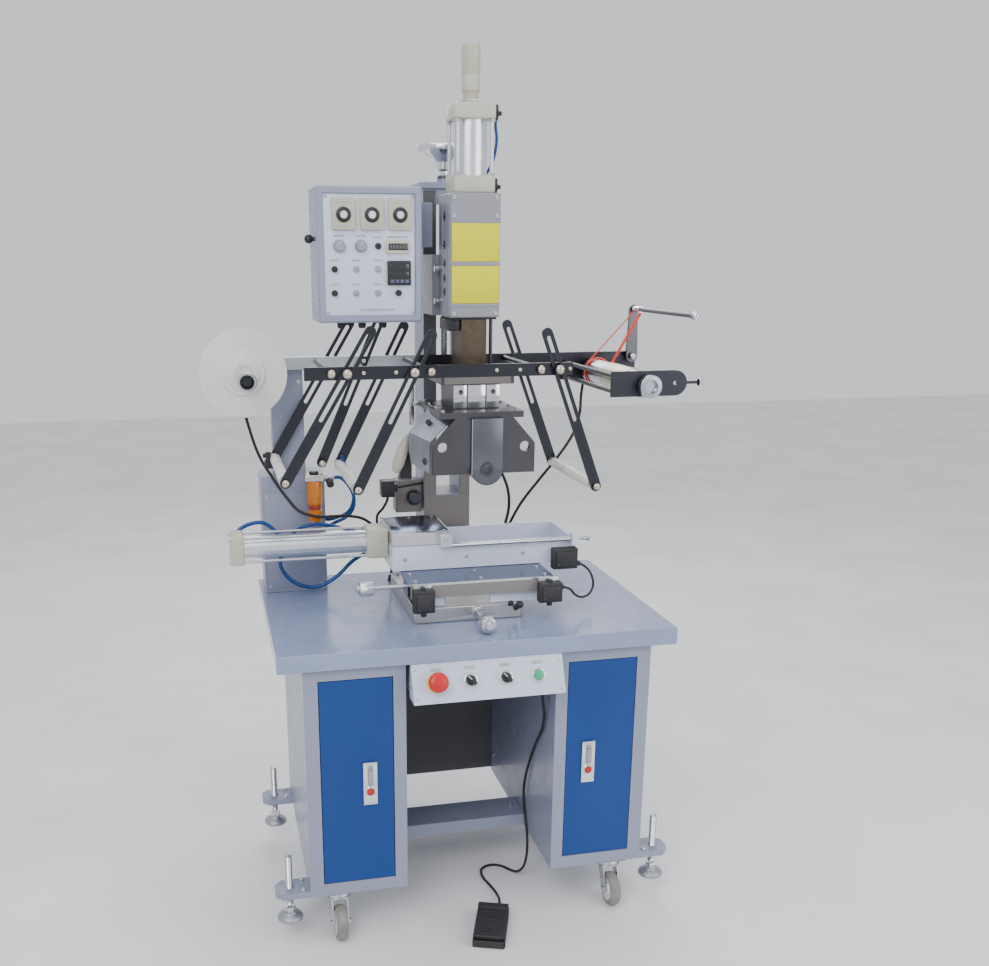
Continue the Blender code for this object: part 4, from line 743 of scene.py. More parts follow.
# ---------------------------------------------------------------- column and head
def column():
    """Bolts, dark strips painted as shade on the column's front, a dark box painted as shade beside it,
    apron, thrust ring and the handwheel with its screw.
    """
    low, high = span("column")
    trim = Kit()
    for x in (low.x + 0.03, high.x - 0.03):
        for y in (0.176, 0.27):
            trim.bolt((x, y, high.z - 0.01), "Z", 0.006, 0.005)
    for x in (-0.045, 0.089):
        for y in (0.166, 0.182, 0.262):
            trim.bolt((x, y, TABLE_Z + 0.014), "Z", 0.0055, 0.005)
    trim.piece("column_bolts", "machine", "steel")
    # Dark strips either side of the slot above the apron: painted shade on the grey column's front.
    shade_strips, apron = Kit(), Kit()
    for x0, x1 in ((-0.0325, -0.004), (0.0535, 0.0775)):
        shade_strips.box((x0, x1), (0.17, 0.1712), (1.03, 1.56), 0.0003, 1)
        apron.box((x0, x1), (0.1698, 0.1714), (0.8765, 1.0295), 0.0005, 1)
    apron.box((-0.0325, 0.0775), (0.1698, 0.1714), (0.72, 0.8755), 0.0005, 1)
    shade_strips.piece("column_shade_strips", "machine", "dark", slot="grey_enamel")
    apron.piece("column_apron", "machine", "taupe", slot="grey_enamel")
    # Dark box between the control box and the head: painted shade on the column's side, in the recess
    # there.
    Kit().box((-0.0462, -0.0338), (0.0708, 0.165), (1.4392, 1.5308), 0.0006, 1).piece("column_side_shade_box",
        "machine", "dark", slot="grey_enamel")
    Kit().lathe([(0.0087, -0.002), (0.0152, -0.002), (0.0152, 0.0055), (0.0135, 0.0068), (0.0118, 0.0068),
        (0.0118, 0.004), (0.0087, 0.004)], (0.0265, 0.2235, 1.5873), "Z",
        36, closed=True).piece("thrust_ring", "machine", "dark_steel", slot="bright_steel")
    wheel_low, wheel_high = span("lift_handwheel")
    x, y = 0.0265, 0.2235
    r = (wheel_high.x - wheel_low.x) / 2
    seat = 1.5873
    rim = seat + 0.068
    Kit().lathe([(0, rim + 0.0035), (0.0085, rim + 0.0035), (0.0105, rim + 0.0015), (0.012, rim - 0.012),
        (0.03, rim - 0.0105), (0.043, rim - 0.0055), (0.049, rim), (0.054, rim + 0.0028),
        (0.0585, rim + 0.0024), (r - 0.0008, rim - 0.001), (r, rim - 0.0045), (r - 0.0016, rim - 0.009),
        (0.054, rim - 0.011), (0.036, rim - 0.019), (0.018, rim - 0.033), (0.0155, rim - 0.048),
        (0.011, rim - 0.052), (0.0105, seat + 0.001), (0.0102, seat), (0.0079, seat)], (x, y, 0), "Z",
        72).piece("handwheel_disc", "handwheel", "chrome", ("lift_handwheel",))
    screw, pitch, foot_z = Kit(), 0.005, wheel_low.z
    turns = [(0, foot_z), (0.005, foot_z + 0.0005), (0.0068, foot_z + 0.003)]
    for i in range(int((seat - foot_z - 0.055) / pitch)):
        z = foot_z + 0.003 + i * pitch
        turns += [(0.0068, z + pitch * 0.42), (0.0079, z + pitch * 0.5), (0.0079, z + pitch * 0.92),
            (0.0068, z + pitch)]
    screw.lathe(turns + [(0.0078, seat - 0.045), (0.0078, seat + 0.002), (0, seat + 0.002)], (x, y, 0), "Z",
        18)
    screw.piece("lift_screw", "handwheel", "steel")
    regulator()


def regulator():
    """The pressure regulator on the column's left side: a cast body with a dark knob."""
    body = Kit().box((-0.1, -0.036), (0.18, 0.222), (0.836, 0.915), 0.004, 3)
    body.box((-0.04, -0.0335), (0.184, 0.218), (0.845, 0.905), 0.001)
    body.lathe([(0, 0), (0.017, 0), (0.017, 0.008), (0.014, 0.012), (0, 0.012)], (-0.074, 0.201, 0.914),
        "Z", 36)
    body.piece("regulator_body", "machine", "taupe", slot="beige_enamel")
    knob = Kit().lathe([(0, 0.016), (0.0125, 0.016), (0.015, 0.014), (0.016, 0.001), (0, 0.001)],
        (-0.056, 0.18, 0.873), "-Y", 48, flutes=0.0006)
    knob.lathe(oblong(0.016, 0.0195, 0.0035, 0.0005), (-0.056, 0.18, 0.873), "-Y", 40, closed=True)
    knob.piece("regulator_knob", "machine", "dark_steel", slot="black_plastic")


def head():
    """Head casting details: blank yellow plates, clamp pins, adjusting slots and screws."""
    low = span("head_housing")[0]
    plates, screws = Kit(), Kit()
    face = low.y
    for z0, z1 in ((1.411, 1.4865), (1.327, 1.402)):
        plates.box((-0.015, 0.086), (face - 0.0016, face + 0.0005), (z0, z1), 0.0005)
    plates.piece("blank_plates", "head", "yellow")
    frame_edge = Kit()
    for x0, x1, z0, z1 in ((-0.0175, 0.0878, 1.487, 1.4925), (-0.0175, 0.0878, 1.403, 1.41),
            (-0.0175, 0.0878, 1.3205, 1.326)):
        frame_edge.box((x0, x1), (face - 0.001, face + 0.0005), (z0, z1), 0.0005)
    frame_edge.piece("head_ribs", "head", "head")
    for x in (-0.01, 0.08):
        for z in (1.306, 1.5, 1.536):
            screws.bolt((x, face, z), "-Y", 0.0042, 0.0025)
    for z in (1.396, 1.329):
        screws.rod((low.x + 0.014 - 0.0005, 0.058, z), (low.x + 0.001, 0.058, z), 0.0068, 28, 0.001)
    left = -0.018
    for z in (1.396, 1.329):
        screws.lathe([(0, 0.01), (0.0045, 0.01), (0.0062, 0.0085), (0.0068, 0.006), (0.0068, -0.001),
            (0, -0.001)], (left, 0.058, z), "-X", 28)
    screws.piece("head_pins", "head", "chrome")
    ovals = Kit()
    for y, z in ((0.02, 1.406), (0.02, 1.377), (0.02, 1.349), (0.021, 1.502), (0.021, 1.444)):
        ovals.lathe([(0, 0.0012), (0.0075, 0.0012), (0.0092, 0.0004), (0.0092, -0.001), (0, -0.001)],
            (left, y, z), "-X", 28)
        ovals.lathe([(0, 0.003), (0.0034, 0.003), (0.004, 0.0022), (0.004, 0.001), (0, 0.001)],
            (left, y, z), "-X", 6)
    ovals.piece("head_plugs", "head", "dark_steel", slot="black_plastic")
    strip = Kit().box((left - 0.001, left + 0.0005), (-0.03, -0.022), (1.305, 1.54), 0.0004, 1)
    strip.box((left - 0.0014, left + 0.0005), (0.036, 0.044), (1.305, 1.54), 0.0004, 1)
    strip.piece("head_seams", "head", "grey")
    below = Kit().box((-0.014, 0.084), (-0.028, 0.07), (1.2935, 1.2985), 0.001)
    below.box((-0.0185, 0.006), (-0.02, 0.066), (1.27, 1.2945), 0.0015)
    below.piece("ram_wiper", "head", "black")


def press():
    """Air cylinder of the press with tie rods, ports and the stroke adjuster above it."""
    low, high = span("press_cylinder")
    x, y, half = 0.036, 0.02, 0.043
    cap_low, tube_top = 1.58, 1.687
    Kit().lathe(oblong(0.032, 0.034, cap_low - 0.002, tube_top + 0.002), (x, y, 0), "Z",
        64, closed=True).piece("press_tube", "head", "satin", ("press_cylinder",))
    caps = Kit()
    for z0, z1 in ((low.z, cap_low), (tube_top, high.z)):
        caps.box((x - half, x + half), (y - half, y + half), (z0 + 0.0002, z1 - 0.0002), 0.0035, 3)
    caps.box((x - 0.03, x + 0.03), (y - 0.03, y + 0.03), (cap_low - 0.001, cap_low + 0.004), 0.0015)
    caps.piece("press_caps", "head", "cream")
    ties = Kit()
    for sx in (-1, 1):
        for sy in (-1, 1):
            at = (x + sx * 0.036, y + sy * 0.036)
            ties.rod((*at, cap_low - 0.002), (*at, tube_top + 0.002), 0.0042, 20)
            ties.nut((*at, cap_low - 0.0002), "Z", 0.0075, 0.006)
            ties.lathe(oblong(0, 0.007, 0, -0.0055), (*at, tube_top), "Z", 6)
    ties.piece("press_tie_rods", "head", "steel")
    ports, port_x = Kit(), x + half + 0.0105
    for z in (1.56, 1.702):
        ports.lathe([(0, 0.022), (0.0045, 0.022), (0.0045, 0.016), (0.0075, 0.0155), (0.0075, 0.006),
            (0.006, 0.0055), (0.006, -0.002), (0, -0.002)], (x + half, y, z), "X", 24)
        ports.lathe([(0, 0.012), (0.0035, 0.012), (0.0055, 0.01), (0.0055, -0.002), (0, -0.002)],
            (port_x, y, z + 0.005), "Z", 20)
        ports.rod((port_x, y, z - 0.013), (port_x, y, z + 0.002), 0.005, 20)
    ports.piece("press_ports", "head", "black")
    cable("press_hose", [(port_x, y, 1.69), (port_x, y + 0.001, 1.676), (port_x + 0.004, y + 0.006, 1.652),
        (port_x + 0.002, y + 0.02, 1.618), (port_x - 0.008, y + 0.042, 1.586),
        (port_x - 0.016, y + 0.056, 1.566), (port_x - 0.022, y + 0.05, 1.552)], 0.003, "head", "hose")
    sleeve_low, sleeve_high = span("stroke_adjuster")
    z = sleeve_low.z
    Kit().lathe([(0, z), (0.0163, z), (0.0163, 1.7385), (0.017, 1.74), (0.0192, 1.7415), (0.0195, 1.744),
        (0.0195, 1.77), (0.0189, 1.771), (0.0189, 1.7725), (0.0195, 1.7735),
        (0.0195, sleeve_high.z - 0.0025), (0.018, sleeve_high.z - 0.0006), (0.015, sleeve_high.z),
        (0, sleeve_high.z)], (x, y, 0), "Z", 64).piece("stroke_sleeve", "adjuster", "beige",
        ("stroke_adjuster",))
    Kit().lathe([(0.016, z + 0.0002), (0.024, z + 0.0002), (0.024, z + 0.006), (0.0225, z + 0.0075),
        (0.016, z + 0.0075)], (x, y, 0), "Z", 6, closed=True).piece("stroke_lock_nut", "head", "steel")


def yoke():
    """Screws, guide sheet, heat sleeve and axle ends of the roller head."""
    x0, front = 0.046, span("roller_yoke")[0].y
    screws = Kit()
    for x in (-0.03, 0.004, 0.07, 0.104):
        for y in (-0.046, 0.084):
            screws.bolt((x, y, 1.18), "Z", 0.0048, 0.0045)
    for x in (-0.045, 0.117):
        for y in (-0.085, -0.02, 0.045, 0.105):
            screws.bolt((x, y, 1.109), "Z", 0.0045, 0.004)
    screws.piece("yoke_screws", "ram", "steel")
    Kit().lathe([(0, 0.0015), (0.006, 0.0015), (0.006, 0.0045), (0.0085, 0.0045), (0.01, 0.003),
        (0.015, 0.0025), (0.0155, 0.0012), (0.0155, -0.0008), (0, -0.0008)], (x0, front - 0.0008, 0.989),
        "-Y", 36).piece("axle_cap", "ram", "dark_steel", slot="bright_steel")
    roller_low, roller_high = span("stamping_roller")
    r = (roller_high.z - roller_low.z) / 2
    rear_end, front_end = 0.107, -0.087
    sleeve = Kit().lathe([(0, rear_end), (r - 0.002, rear_end), (r - 0.0004, rear_end - 0.0014),
        (r, rear_end - 0.003), (r, front_end + 0.003), (r - 0.0004, front_end + 0.0014),
        (r - 0.002, front_end), (0, front_end)], (x0, 0, 0.989), "Y", 64)
    sleeve.rod((x0, roller_low.y + 0.0025, 0.989), (x0, roller_high.y - 0.0005, 0.989), 0.0079, 28)
    sleeve.piece("roller_sleeve", "roller", "red_rubber", ("stamping_roller",))
    Kit().box((-0.036, 0.109), (-0.0602, -0.0585), (1.163, 1.179), 0.0004, 1).piece("yoke_top_face", "ram",
        "taupe", slot="machined_aluminium")
    faces = Kit()
    for bx0, bx1 in ((-0.0135, 0.015), (0.0175, 0.056), (0.0585, 0.0875)):
        faces.box((bx0, bx1), (-0.0494, -0.0478), (1.111, 1.16), 0.0012, 2)
    faces.piece("yoke_block_face", "ram", "chrome", slot="machined_aluminium")
    holes = Kit()
    for hx in (0.002, 0.073):
        holes.lathe([(0, 0.001), (0.003, 0.001), (0.0048, 0.002), (0.0052, 0.001), (0.0052, -0.001),
            (0, -0.001)], (hx, -0.0494, 1.145), "-Y", 28)
    holes.piece("yoke_block_screws", "ram", "dark_steel")
    cheek = Kit().box((x0 - 0.0328, x0 + 0.0328), (front - 0.0014, front + 0.0005), (0.989, 1.0965), 0.0006)
    cheek.lathe([(0, 0.0009), (0.0322, 0.0009), (0.0328, 0.0004), (0.0328, -0.0005), (0, -0.0005)],
        (x0, front, 0.989), "-Y", 56)
    cheek.piece("cheek_plate", "ram", "grey_steel")
    Kit().box((x0 - 0.0345, x0 - 0.0329), (front - 0.002, front + 0.003), (0.976, 1.0965),
        0.0004, 1).piece("cheek_edge", "ram", "steel")
    Kit().sheet([((-0.05, 0.018, 1.111), (-0.019, -0.084, 1.099)), ((-0.0985, 0.018, 1.0535),
        (-0.0716, -0.084, 1.0475)), ((-0.1, 0.01, 1.015), (-0.0735, -0.084, 1.015)), ((-0.099, -0.01, 0.99),
        (-0.074, -0.084, 0.981))], 0.0016).piece("foil_guide_sheet", "ram", "sheet")
    studs = Kit().bolt((-0.064, -0.03, 1.08), (-0.6, -0.22, 0.77), 0.006, 0.005)
    studs.lathe([(0, 0.002), (0.0065, 0.002), (0.0078, 0.0008), (0.0078, -0.002), (0, -0.002)],
        (-0.08, -0.066, 1.003), (-0.93, -0.36, 0), 28)
    studs.piece("foil_guide_screws", "ram", "dark_steel")
    lean = Vector((-0.028, 0, -0.085)).normalized()
    Kit().lathe([(0, 0), (0.0045, 0.002), (0.0085, 0.016), (0.0118, 0.034), (0.0135, 0.052),
        (0.0132, 0.068), (0.01, 0.082), (0.005, 0.089), (0, 0.09)], (-0.097, 0.04, 1.045), tuple(lean),
        36).piece("heat_sleeve", "ram", "cream", slot="white_plastic")
    backing = Kit().box((-0.112, -0.086), (0.046, 0.07), (0.945, 0.996), 0.002)
    backing.box((-0.104, -0.06), (0.052, 0.06), (0.996, 1.03), 0.002)
    backing.piece("heat_bracket", "ram", "black")
    strip = Kit().box((-0.079, -0.067), (0.112, 0.116), (1.055, 1.14), 0.0006)
    strip.box((-0.07, -0.05), (0.11, 0.118), (1.098, 1.107), 0.0006)
    strip.piece("stop_strip", "ram", "steel")


# ---------------------------------------------------------------- control box
def controls():
    """Instruments on the recessed panel: timers, knobs, counter, controller, switches and lamps."""
    low = span("control_box")[0]
    face = -0.024
    Kit().box((-0.2775, -0.0905), (face - 0.0012, face + 0.0006), (1.3045, 1.5415),
        0.0006).piece("control_panel", "machine", "white")
    # Thin dark frame round the panel's recess: painted shadow in the gap round the panel.
    gasket = Kit()
    for x0, x1, z0, z1 in ((-0.2835, -0.0865, 1.5415, 1.5465), (-0.2835, -0.0865, 1.3005, 1.3045),
            (-0.2835, -0.2775, 1.3005, 1.5465), (-0.0905, -0.0865, 1.3005, 1.5465)):
        gasket.box((x0, x1), (face - 0.0004, face + 0.0006), (z0, z1), 0.0002, 1)
    gasket.piece("panel_shadow_gap", "machine", "gasket")
    face -= 0.0012
    bodies, rings, dials, ticks = Kit(), Kit(), Kit(), Kit()
    for x in (-0.237, -0.1795, -0.122):
        bodies.box((x - 0.0235, x + 0.0235), (face - 0.01, face + 0.001), (1.472, 1.533), 0.0018, 3)
        rings.lathe([(0.0078, 0), (0.015, 0), (0.015, 0.0018), (0.014, 0.003), (0.0092, 0.0044),
            (0.0078, 0.0036)], (x, face - 0.0095, 1.501), "-Y", 48, closed=True)
        dials.lathe([(0, 0.0052), (0.006, 0.0052), (0.0074, 0.004), (0.0078, 0), (0, 0)],
            (x, face - 0.0095, 1.501), "-Y", 40)
        for i in range(11):
            angle = math.radians(-50 + i * 28)
            cx, cz = x - 0.0172 * math.cos(angle), 1.501 + 0.0172 * math.sin(angle)
            ticks.box((cx - 0.0005, cx + 0.0005), (face - 0.0104, face - 0.0098),
                (cz - 0.0011, cz + 0.0011), 0)
        ticks.box((x - 0.015, x + 0.013), (face - 0.0104, face - 0.0098), (1.4775, 1.4805), 0.0002, 1)
        ticks.box((x - 0.016, x + 0.015), (face - 0.0104, face - 0.0098), (1.5235, 1.5255), 0.0002, 1)
    bodies.piece("timer_bodies", "machine", "beige")
    rings.piece("timer_rings", "machine", "black")
    dials.piece("timer_dials", "machine", "white_plastic")
    ticks.piece("timer_ticks", "machine", "label", slot="black_plastic")
    knobs, lines = Kit(), Kit()
    for x in (-0.246, -0.202):
        knobs.lathe([(0, 0.014), (0.0085, 0.014), (0.01, 0.0125), (0.0112, 0.003), (0.013, 0.0022),
            (0.013, 0), (0, 0)], (x, face, 1.441), "-Y", 48, flutes=0.0005)
        lines.box((x - 0.0006, x + 0.0006), (face - 0.0146, face - 0.0136), (1.442, 1.45), 0.0001, 1)
    knobs.piece("speed_knobs", "machine", "grey_plastic")
    lines.piece("knob_lines", "machine", "white_plastic")
    nuts, black_levers, levers = Kit(), Kit(), Kit()
    spots = [(-0.167, 1.441, black_levers), (-0.257, 1.396, black_levers), (-0.212, 1.396, levers),
        (-0.167, 1.396, levers), (-0.258, 1.349, black_levers), (-0.213, 1.349, levers),
        (-0.168, 1.349, levers), (-0.126, 1.349, black_levers)]
    for x, z, kind in spots:
        nuts.nut((x, face, z), "-Y", 0.0072, 0.0022)
        nuts.lathe([(0.003, 0.0055), (0.0052, 0.0055), (0.0056, 0.002), (0.003, 0.002)], (x, face, z), "-Y",
            28, closed=True)
        if kind is black_levers:
            kind.lathe([(0, 0.009), (0.0048, 0.009), (0.0062, 0.0078), (0.0066, 0.002), (0, 0.002)],
                (x, face, z), "-Y", 32)
        else:
            kind.lathe([(0, 0.0075), (0.0038, 0.0068), (0.0058, 0.0045), (0.0066, 0.001), (0.0066, 0),
                (0, 0)], (x, face, z), "-Y", 32)
    nuts.piece("switch_nuts", "machine", "steel")
    black_levers.piece("panel_buttons", "machine", "black")
    levers.piece("panel_lamps", "machine", "grey_plastic")
    labels = Kit()
    for x, z in [spot[:2] for spot in spots]:
        labels.box((x - 0.0085, x + 0.0085), (face - 0.0004, face + 0.0004), (z + 0.0155, z + 0.019),
            0.0001, 1)
    for x in (-0.246, -0.202):
        labels.box((x - 0.011, x + 0.011), (face - 0.0004, face + 0.0004), (1.459, 1.463), 0.0001, 1)
    labels.box((-0.205, -0.135), (face - 0.0004, face + 0.0004), (1.313, 1.318), 0.0001, 1)
    labels.box((-0.148, -0.104), (face - 0.0004, face + 0.0004), (1.457, 1.4605), 0.0001, 1)
    labels.piece("panel_labels", "machine", "label")
    Kit().box((-0.151, -0.101), (face - 0.006, face + 0.001), (1.4265, 1.453),
        0.0015, 3).piece("counter_case", "machine", "cream")
    Kit().box((-0.1465, -0.1055), (face - 0.0068, face - 0.0055), (1.433, 1.4465),
        0.0006).piece("counter_window", "machine", "glass")
    digits = Kit()
    for i in range(6):
        x = -0.1435 + i * 0.0064
        digits.box((x, x + 0.0048), (face - 0.0073, face - 0.0066), (1.4355, 1.444), 0.0004, 1)
    digits.piece("counter_wheels", "machine", "dark", slot="black_plastic")
    Kit().box((-0.1485, -0.1), (face - 0.008, face + 0.001), (1.364, 1.4125),
        0.0022, 3).piece("controller_case", "machine", "black")
    screen = Kit()
    for z0, z1 in ((1.393, 1.4065), (1.381, 1.3905)):
        screen.box((-0.1435, -0.105), (face - 0.0086, face - 0.0075), (z0, z1), 0.0005)
    screen.piece("controller_screens", "machine", "glass")
    keys = Kit()
    for i in range(4):
        x = -0.143 + i * 0.0101
        keys.box((x, x + 0.0078), (face - 0.0092, face - 0.0075), (1.369, 1.3755), 0.0008)
    keys.piece("controller_keys", "machine", "gasket")
    screws = Kit()
    for x in (-0.272, -0.096):
        for z in (1.31, 1.536):
            screws.bolt((x, face, z), "-Y", 0.003, 0.0014)
    for z in (1.33, 1.42, 1.52):
        screws.bolt((low.x, 0.085, z), "-X", 0.0042, 0.002)
    screws.piece("control_screws", "machine", "steel")
    ball = Kit().rod((-0.29, 0.01, 1.455), (-0.297, 0.01, 1.455), 0.0045)
    ball.ball((-0.3035, 0.01, 1.455), 0.0092, 32)
    ball.piece("box_lock_knob", "machine", "black")
    glands = Kit()
    for x in (-0.235, -0.19, -0.145):
        glands.lathe([(0, -0.016), (0.0065, -0.016), (0.0085, -0.012), (0.0085, -0.003), (0.0105, -0.003),
            (0.0105, 0.001), (0, 0.001)], (x, 0.06, low.z), "Z", 20)
    glands.piece("box_glands", "machine", "black")
    Kit().box((-0.27, -0.098), (0.0995, 0.1015), (1.31, 1.536), 0.0008).piece("control_back_plate",
        "machine", "grey")


# ---------------------------------------------------------------- air supply
def air_supply():
    """Filter and lubricator with amber bowls, and the fittings of the valve box."""
    x, y = -0.297, 0.128
    metalwork = Kit().box((x - 0.022, x + 0.022), (y - 0.016, y + 0.016), (0.933, 0.948), 0.0025, 3)
    metalwork.box((x - 0.014, x + 0.014), (y + 0.01, 0.1585), (0.931, 0.947), 0.0015)
    metalwork.rod((x + 0.02, y, 0.938), (x + 0.0455, y, 0.938), 0.0052, 24)
    metalwork.nut((x + 0.024, y, 0.938), "X", 0.008, 0.006)
    metalwork.lathe([(0, 0.8325), (0.007, 0.8325), (0.009, 0.835), (0.009, 0.839), (0, 0.839)], (x, y, 0),
        "Z", 24)
    metalwork.piece("filter_head", "machine", "aluminium", ("air_filter_unit",))
    bowl = Kit().lathe([(0, 0.934), (0.0158, 0.934), (0.017, 0.93), (0.0172, 0.905), (0.0168, 0.884),
        (0.0158, 0.879), (0.013, 0.876), (0, 0.876)], (x, y, 0), "Z", 48)
    bowl.lathe([(0, 0.868), (0.013, 0.868), (0.0158, 0.866), (0.016, 0.86), (0.0155, 0.845), (0.013, 0.839),
        (0.008, 0.838), (0, 0.838)], (x, y, 0), "Z", 48)
    bowl.piece("filter_bowls", "machine", "amber")
    Kit().lathe(oblong(0, 0.0145, 0.8775, 0.8665), (x, y, 0), "Z", 40).piece("filter_band", "machine",
        "dark_red")
    knob = Kit().lathe([(0, 0.948), (0.0105, 0.948), (0.011, 0.9492), (0.0106, 0.9535), (0.009, 0.9545),
        (0, 0.9546)], (x, y, 0), "Z", 48, flutes=0.0005)
    knob.rod((-0.262, 0.126, 0.932), (-0.262, 0.108, 0.926), 0.0085, 28, 0.001)
    knob.piece("filter_knob", "machine", "black")
    fitting = Kit().box((-0.405, -0.386), (0.15, 0.159), (0.96, 0.98), 0.0015)
    fitting.rod((-0.396, 0.154, 0.962), (-0.396, 0.154, 0.998), 0.0062, 24, 0.0015)
    fitting.rod((-0.396, 0.154, 0.99), (-0.408, 0.154, 0.99), 0.005, 24, 0.001)
    fitting.piece("valve_box_fittings", "machine", "black")
    Kit().box((-0.3815, -0.369), (0.1555, 0.159), (0.968, 0.98), 0.001).piece("valve_box_plug", "machine",
        "cream", slot="white_plastic")
    Kit().box((-0.409, -0.276), (0.1578, 0.1595), (0.672, 0.9), 0.0006).piece("valve_box_door", "machine",
        "grey")
    bolts = Kit()
    for bx in (-0.403, -0.282):
        for bz in (0.68, 0.892):
            bolts.bolt((bx, 0.1578, bz), "-Y", 0.0035, 0.002)
    for bx in (-0.372, -0.319):
        bolts.bolt((bx, 0.19, 1.15), "-Y", 0.005, 0.004)
    bolts.piece("valve_box_screws", "machine", "steel")
    cable("supply_hose", [(-0.253, 0.128, 0.938), (-0.236, 0.128, 0.937), (-0.218, 0.13, 0.918),
        (-0.206, 0.134, 0.89), (-0.208, 0.138, 0.862), (-0.223, 0.142, 0.842), (-0.25, 0.148, 0.828),
        (-0.262, 0.16, 0.818), (-0.266, 0.172, 0.812), (-0.269, 0.18, 0.81)], 0.004, "machine", "hose")
    cable("arm_hose", [(-0.231, 0.15, 0.985), (-0.225, 0.148, 0.968), (-0.211, 0.145, 0.935),
        (-0.205, 0.144, 0.9), (-0.208, 0.146, 0.87), (-0.22, 0.15, 0.85), (-0.245, 0.156, 0.838),
        (-0.26, 0.166, 0.832), (-0.268, 0.178, 0.83)], 0.0038, "machine", "hose")


# ---------------------------------------------------------------- foil frame, arms and reels
def foil_frame():
    """Trim of the foil frame."""
    bright = Kit().box((-0.459, -0.05), (0.1592, 0.1602), (1.1785, 1.2055), 0.0004, 1)
    bright.box((-0.459, -0.05), (0.1596, 0.1704), (1.2056, 1.2066), 0.0003, 1)
    bright.piece("rear_bar_face", "machine", "sheet")
    domes = Kit()
    for x in (-0.281, -0.078, 0.154):
        domes.dome((x, -0.13, 1.197), "-Y", 0.0088, 0.0062, 28)
    for x in (-0.216, -0.15, 0.06, 0.11, 0.218):
        domes.dome((x, -0.124, 1.197), "-Y", 0.0045, 0.0028)
    domes.piece("frame_bolts", "machine", "brass")
    heads = Kit()
    for x in (-0.2505, -0.1142, 0.1917):
        heads.dome((x, -0.1388, 1.197), "-Y", 0.0098, 0.0066, 28)
        heads.dome((x, 0.1844, 1.197), "Y", 0.0098, 0.0066, 28)
    heads.dome((-0.175, 0.1494, 1.197), "-Y", 0.0098, 0.0055, 28)
    heads.piece("arm_clamp_bolts", "machine", "brass")
    for name, (x, lean, below) in {"outer": (-0.2505, 31.1, 0.252), "inner": (-0.1142, 26.7, 0.264),
            "right": (0.1917, -20.1, 0.267)}.items():
        angle = math.radians(lean)
        bottom = (x - below * math.sin(angle), 1.197 - below * math.cos(angle))
        ends = Kit().dome((bottom[0], -0.1345, bottom[1]), "-Y", 0.0078, 0.005, 28)
        ends.dome((bottom[0], 0.1805, bottom[1]), "Y", 0.0078, 0.005, 28)
        ends.piece(f"{name}_arm_bolts", f"{name}_arms", "brass")
        node = f"{name}_guide_roller"
        low, high = span(node)
        r = (high.z - low.z) / 2 + 0.0001
        Kit().lathe([(0.0056, high.y), (r - 0.001, high.y), (r, high.y - 0.001), (r, low.y + 0.001),
            (r - 0.001, low.y), (0.0056, low.y)], (bottom[0], 0, bottom[1]), "Y",
            40, closed=True).piece(f"{name}_guide_tube", f"{name}_guide", "white_plastic", (node,))
        caps = Kit()
        for y in (low.y + 0.01, high.y - 0.01):
            caps.lathe([(r + 0.0006, -0.004), (r + 0.0006, 0.004), (r - 0.001, 0.004), (r - 0.001, -0.004)],
                (bottom[0], y, bottom[1]), "Y", 40, closed=True)
        caps.piece(f"{name}_guide_collars", f"{name}_guide", "steel_y")
    lean = math.radians(23.7)
    peg = (-0.175 - 0.249 * math.sin(lean), 1.197 - 0.249 * math.cos(lean))
    Kit().dome((peg[0], 0.136, peg[1]), "-Y", 0.0085, 0.0055, 28).piece("lone_arm_bolt", "lone_arm",
        "brass")


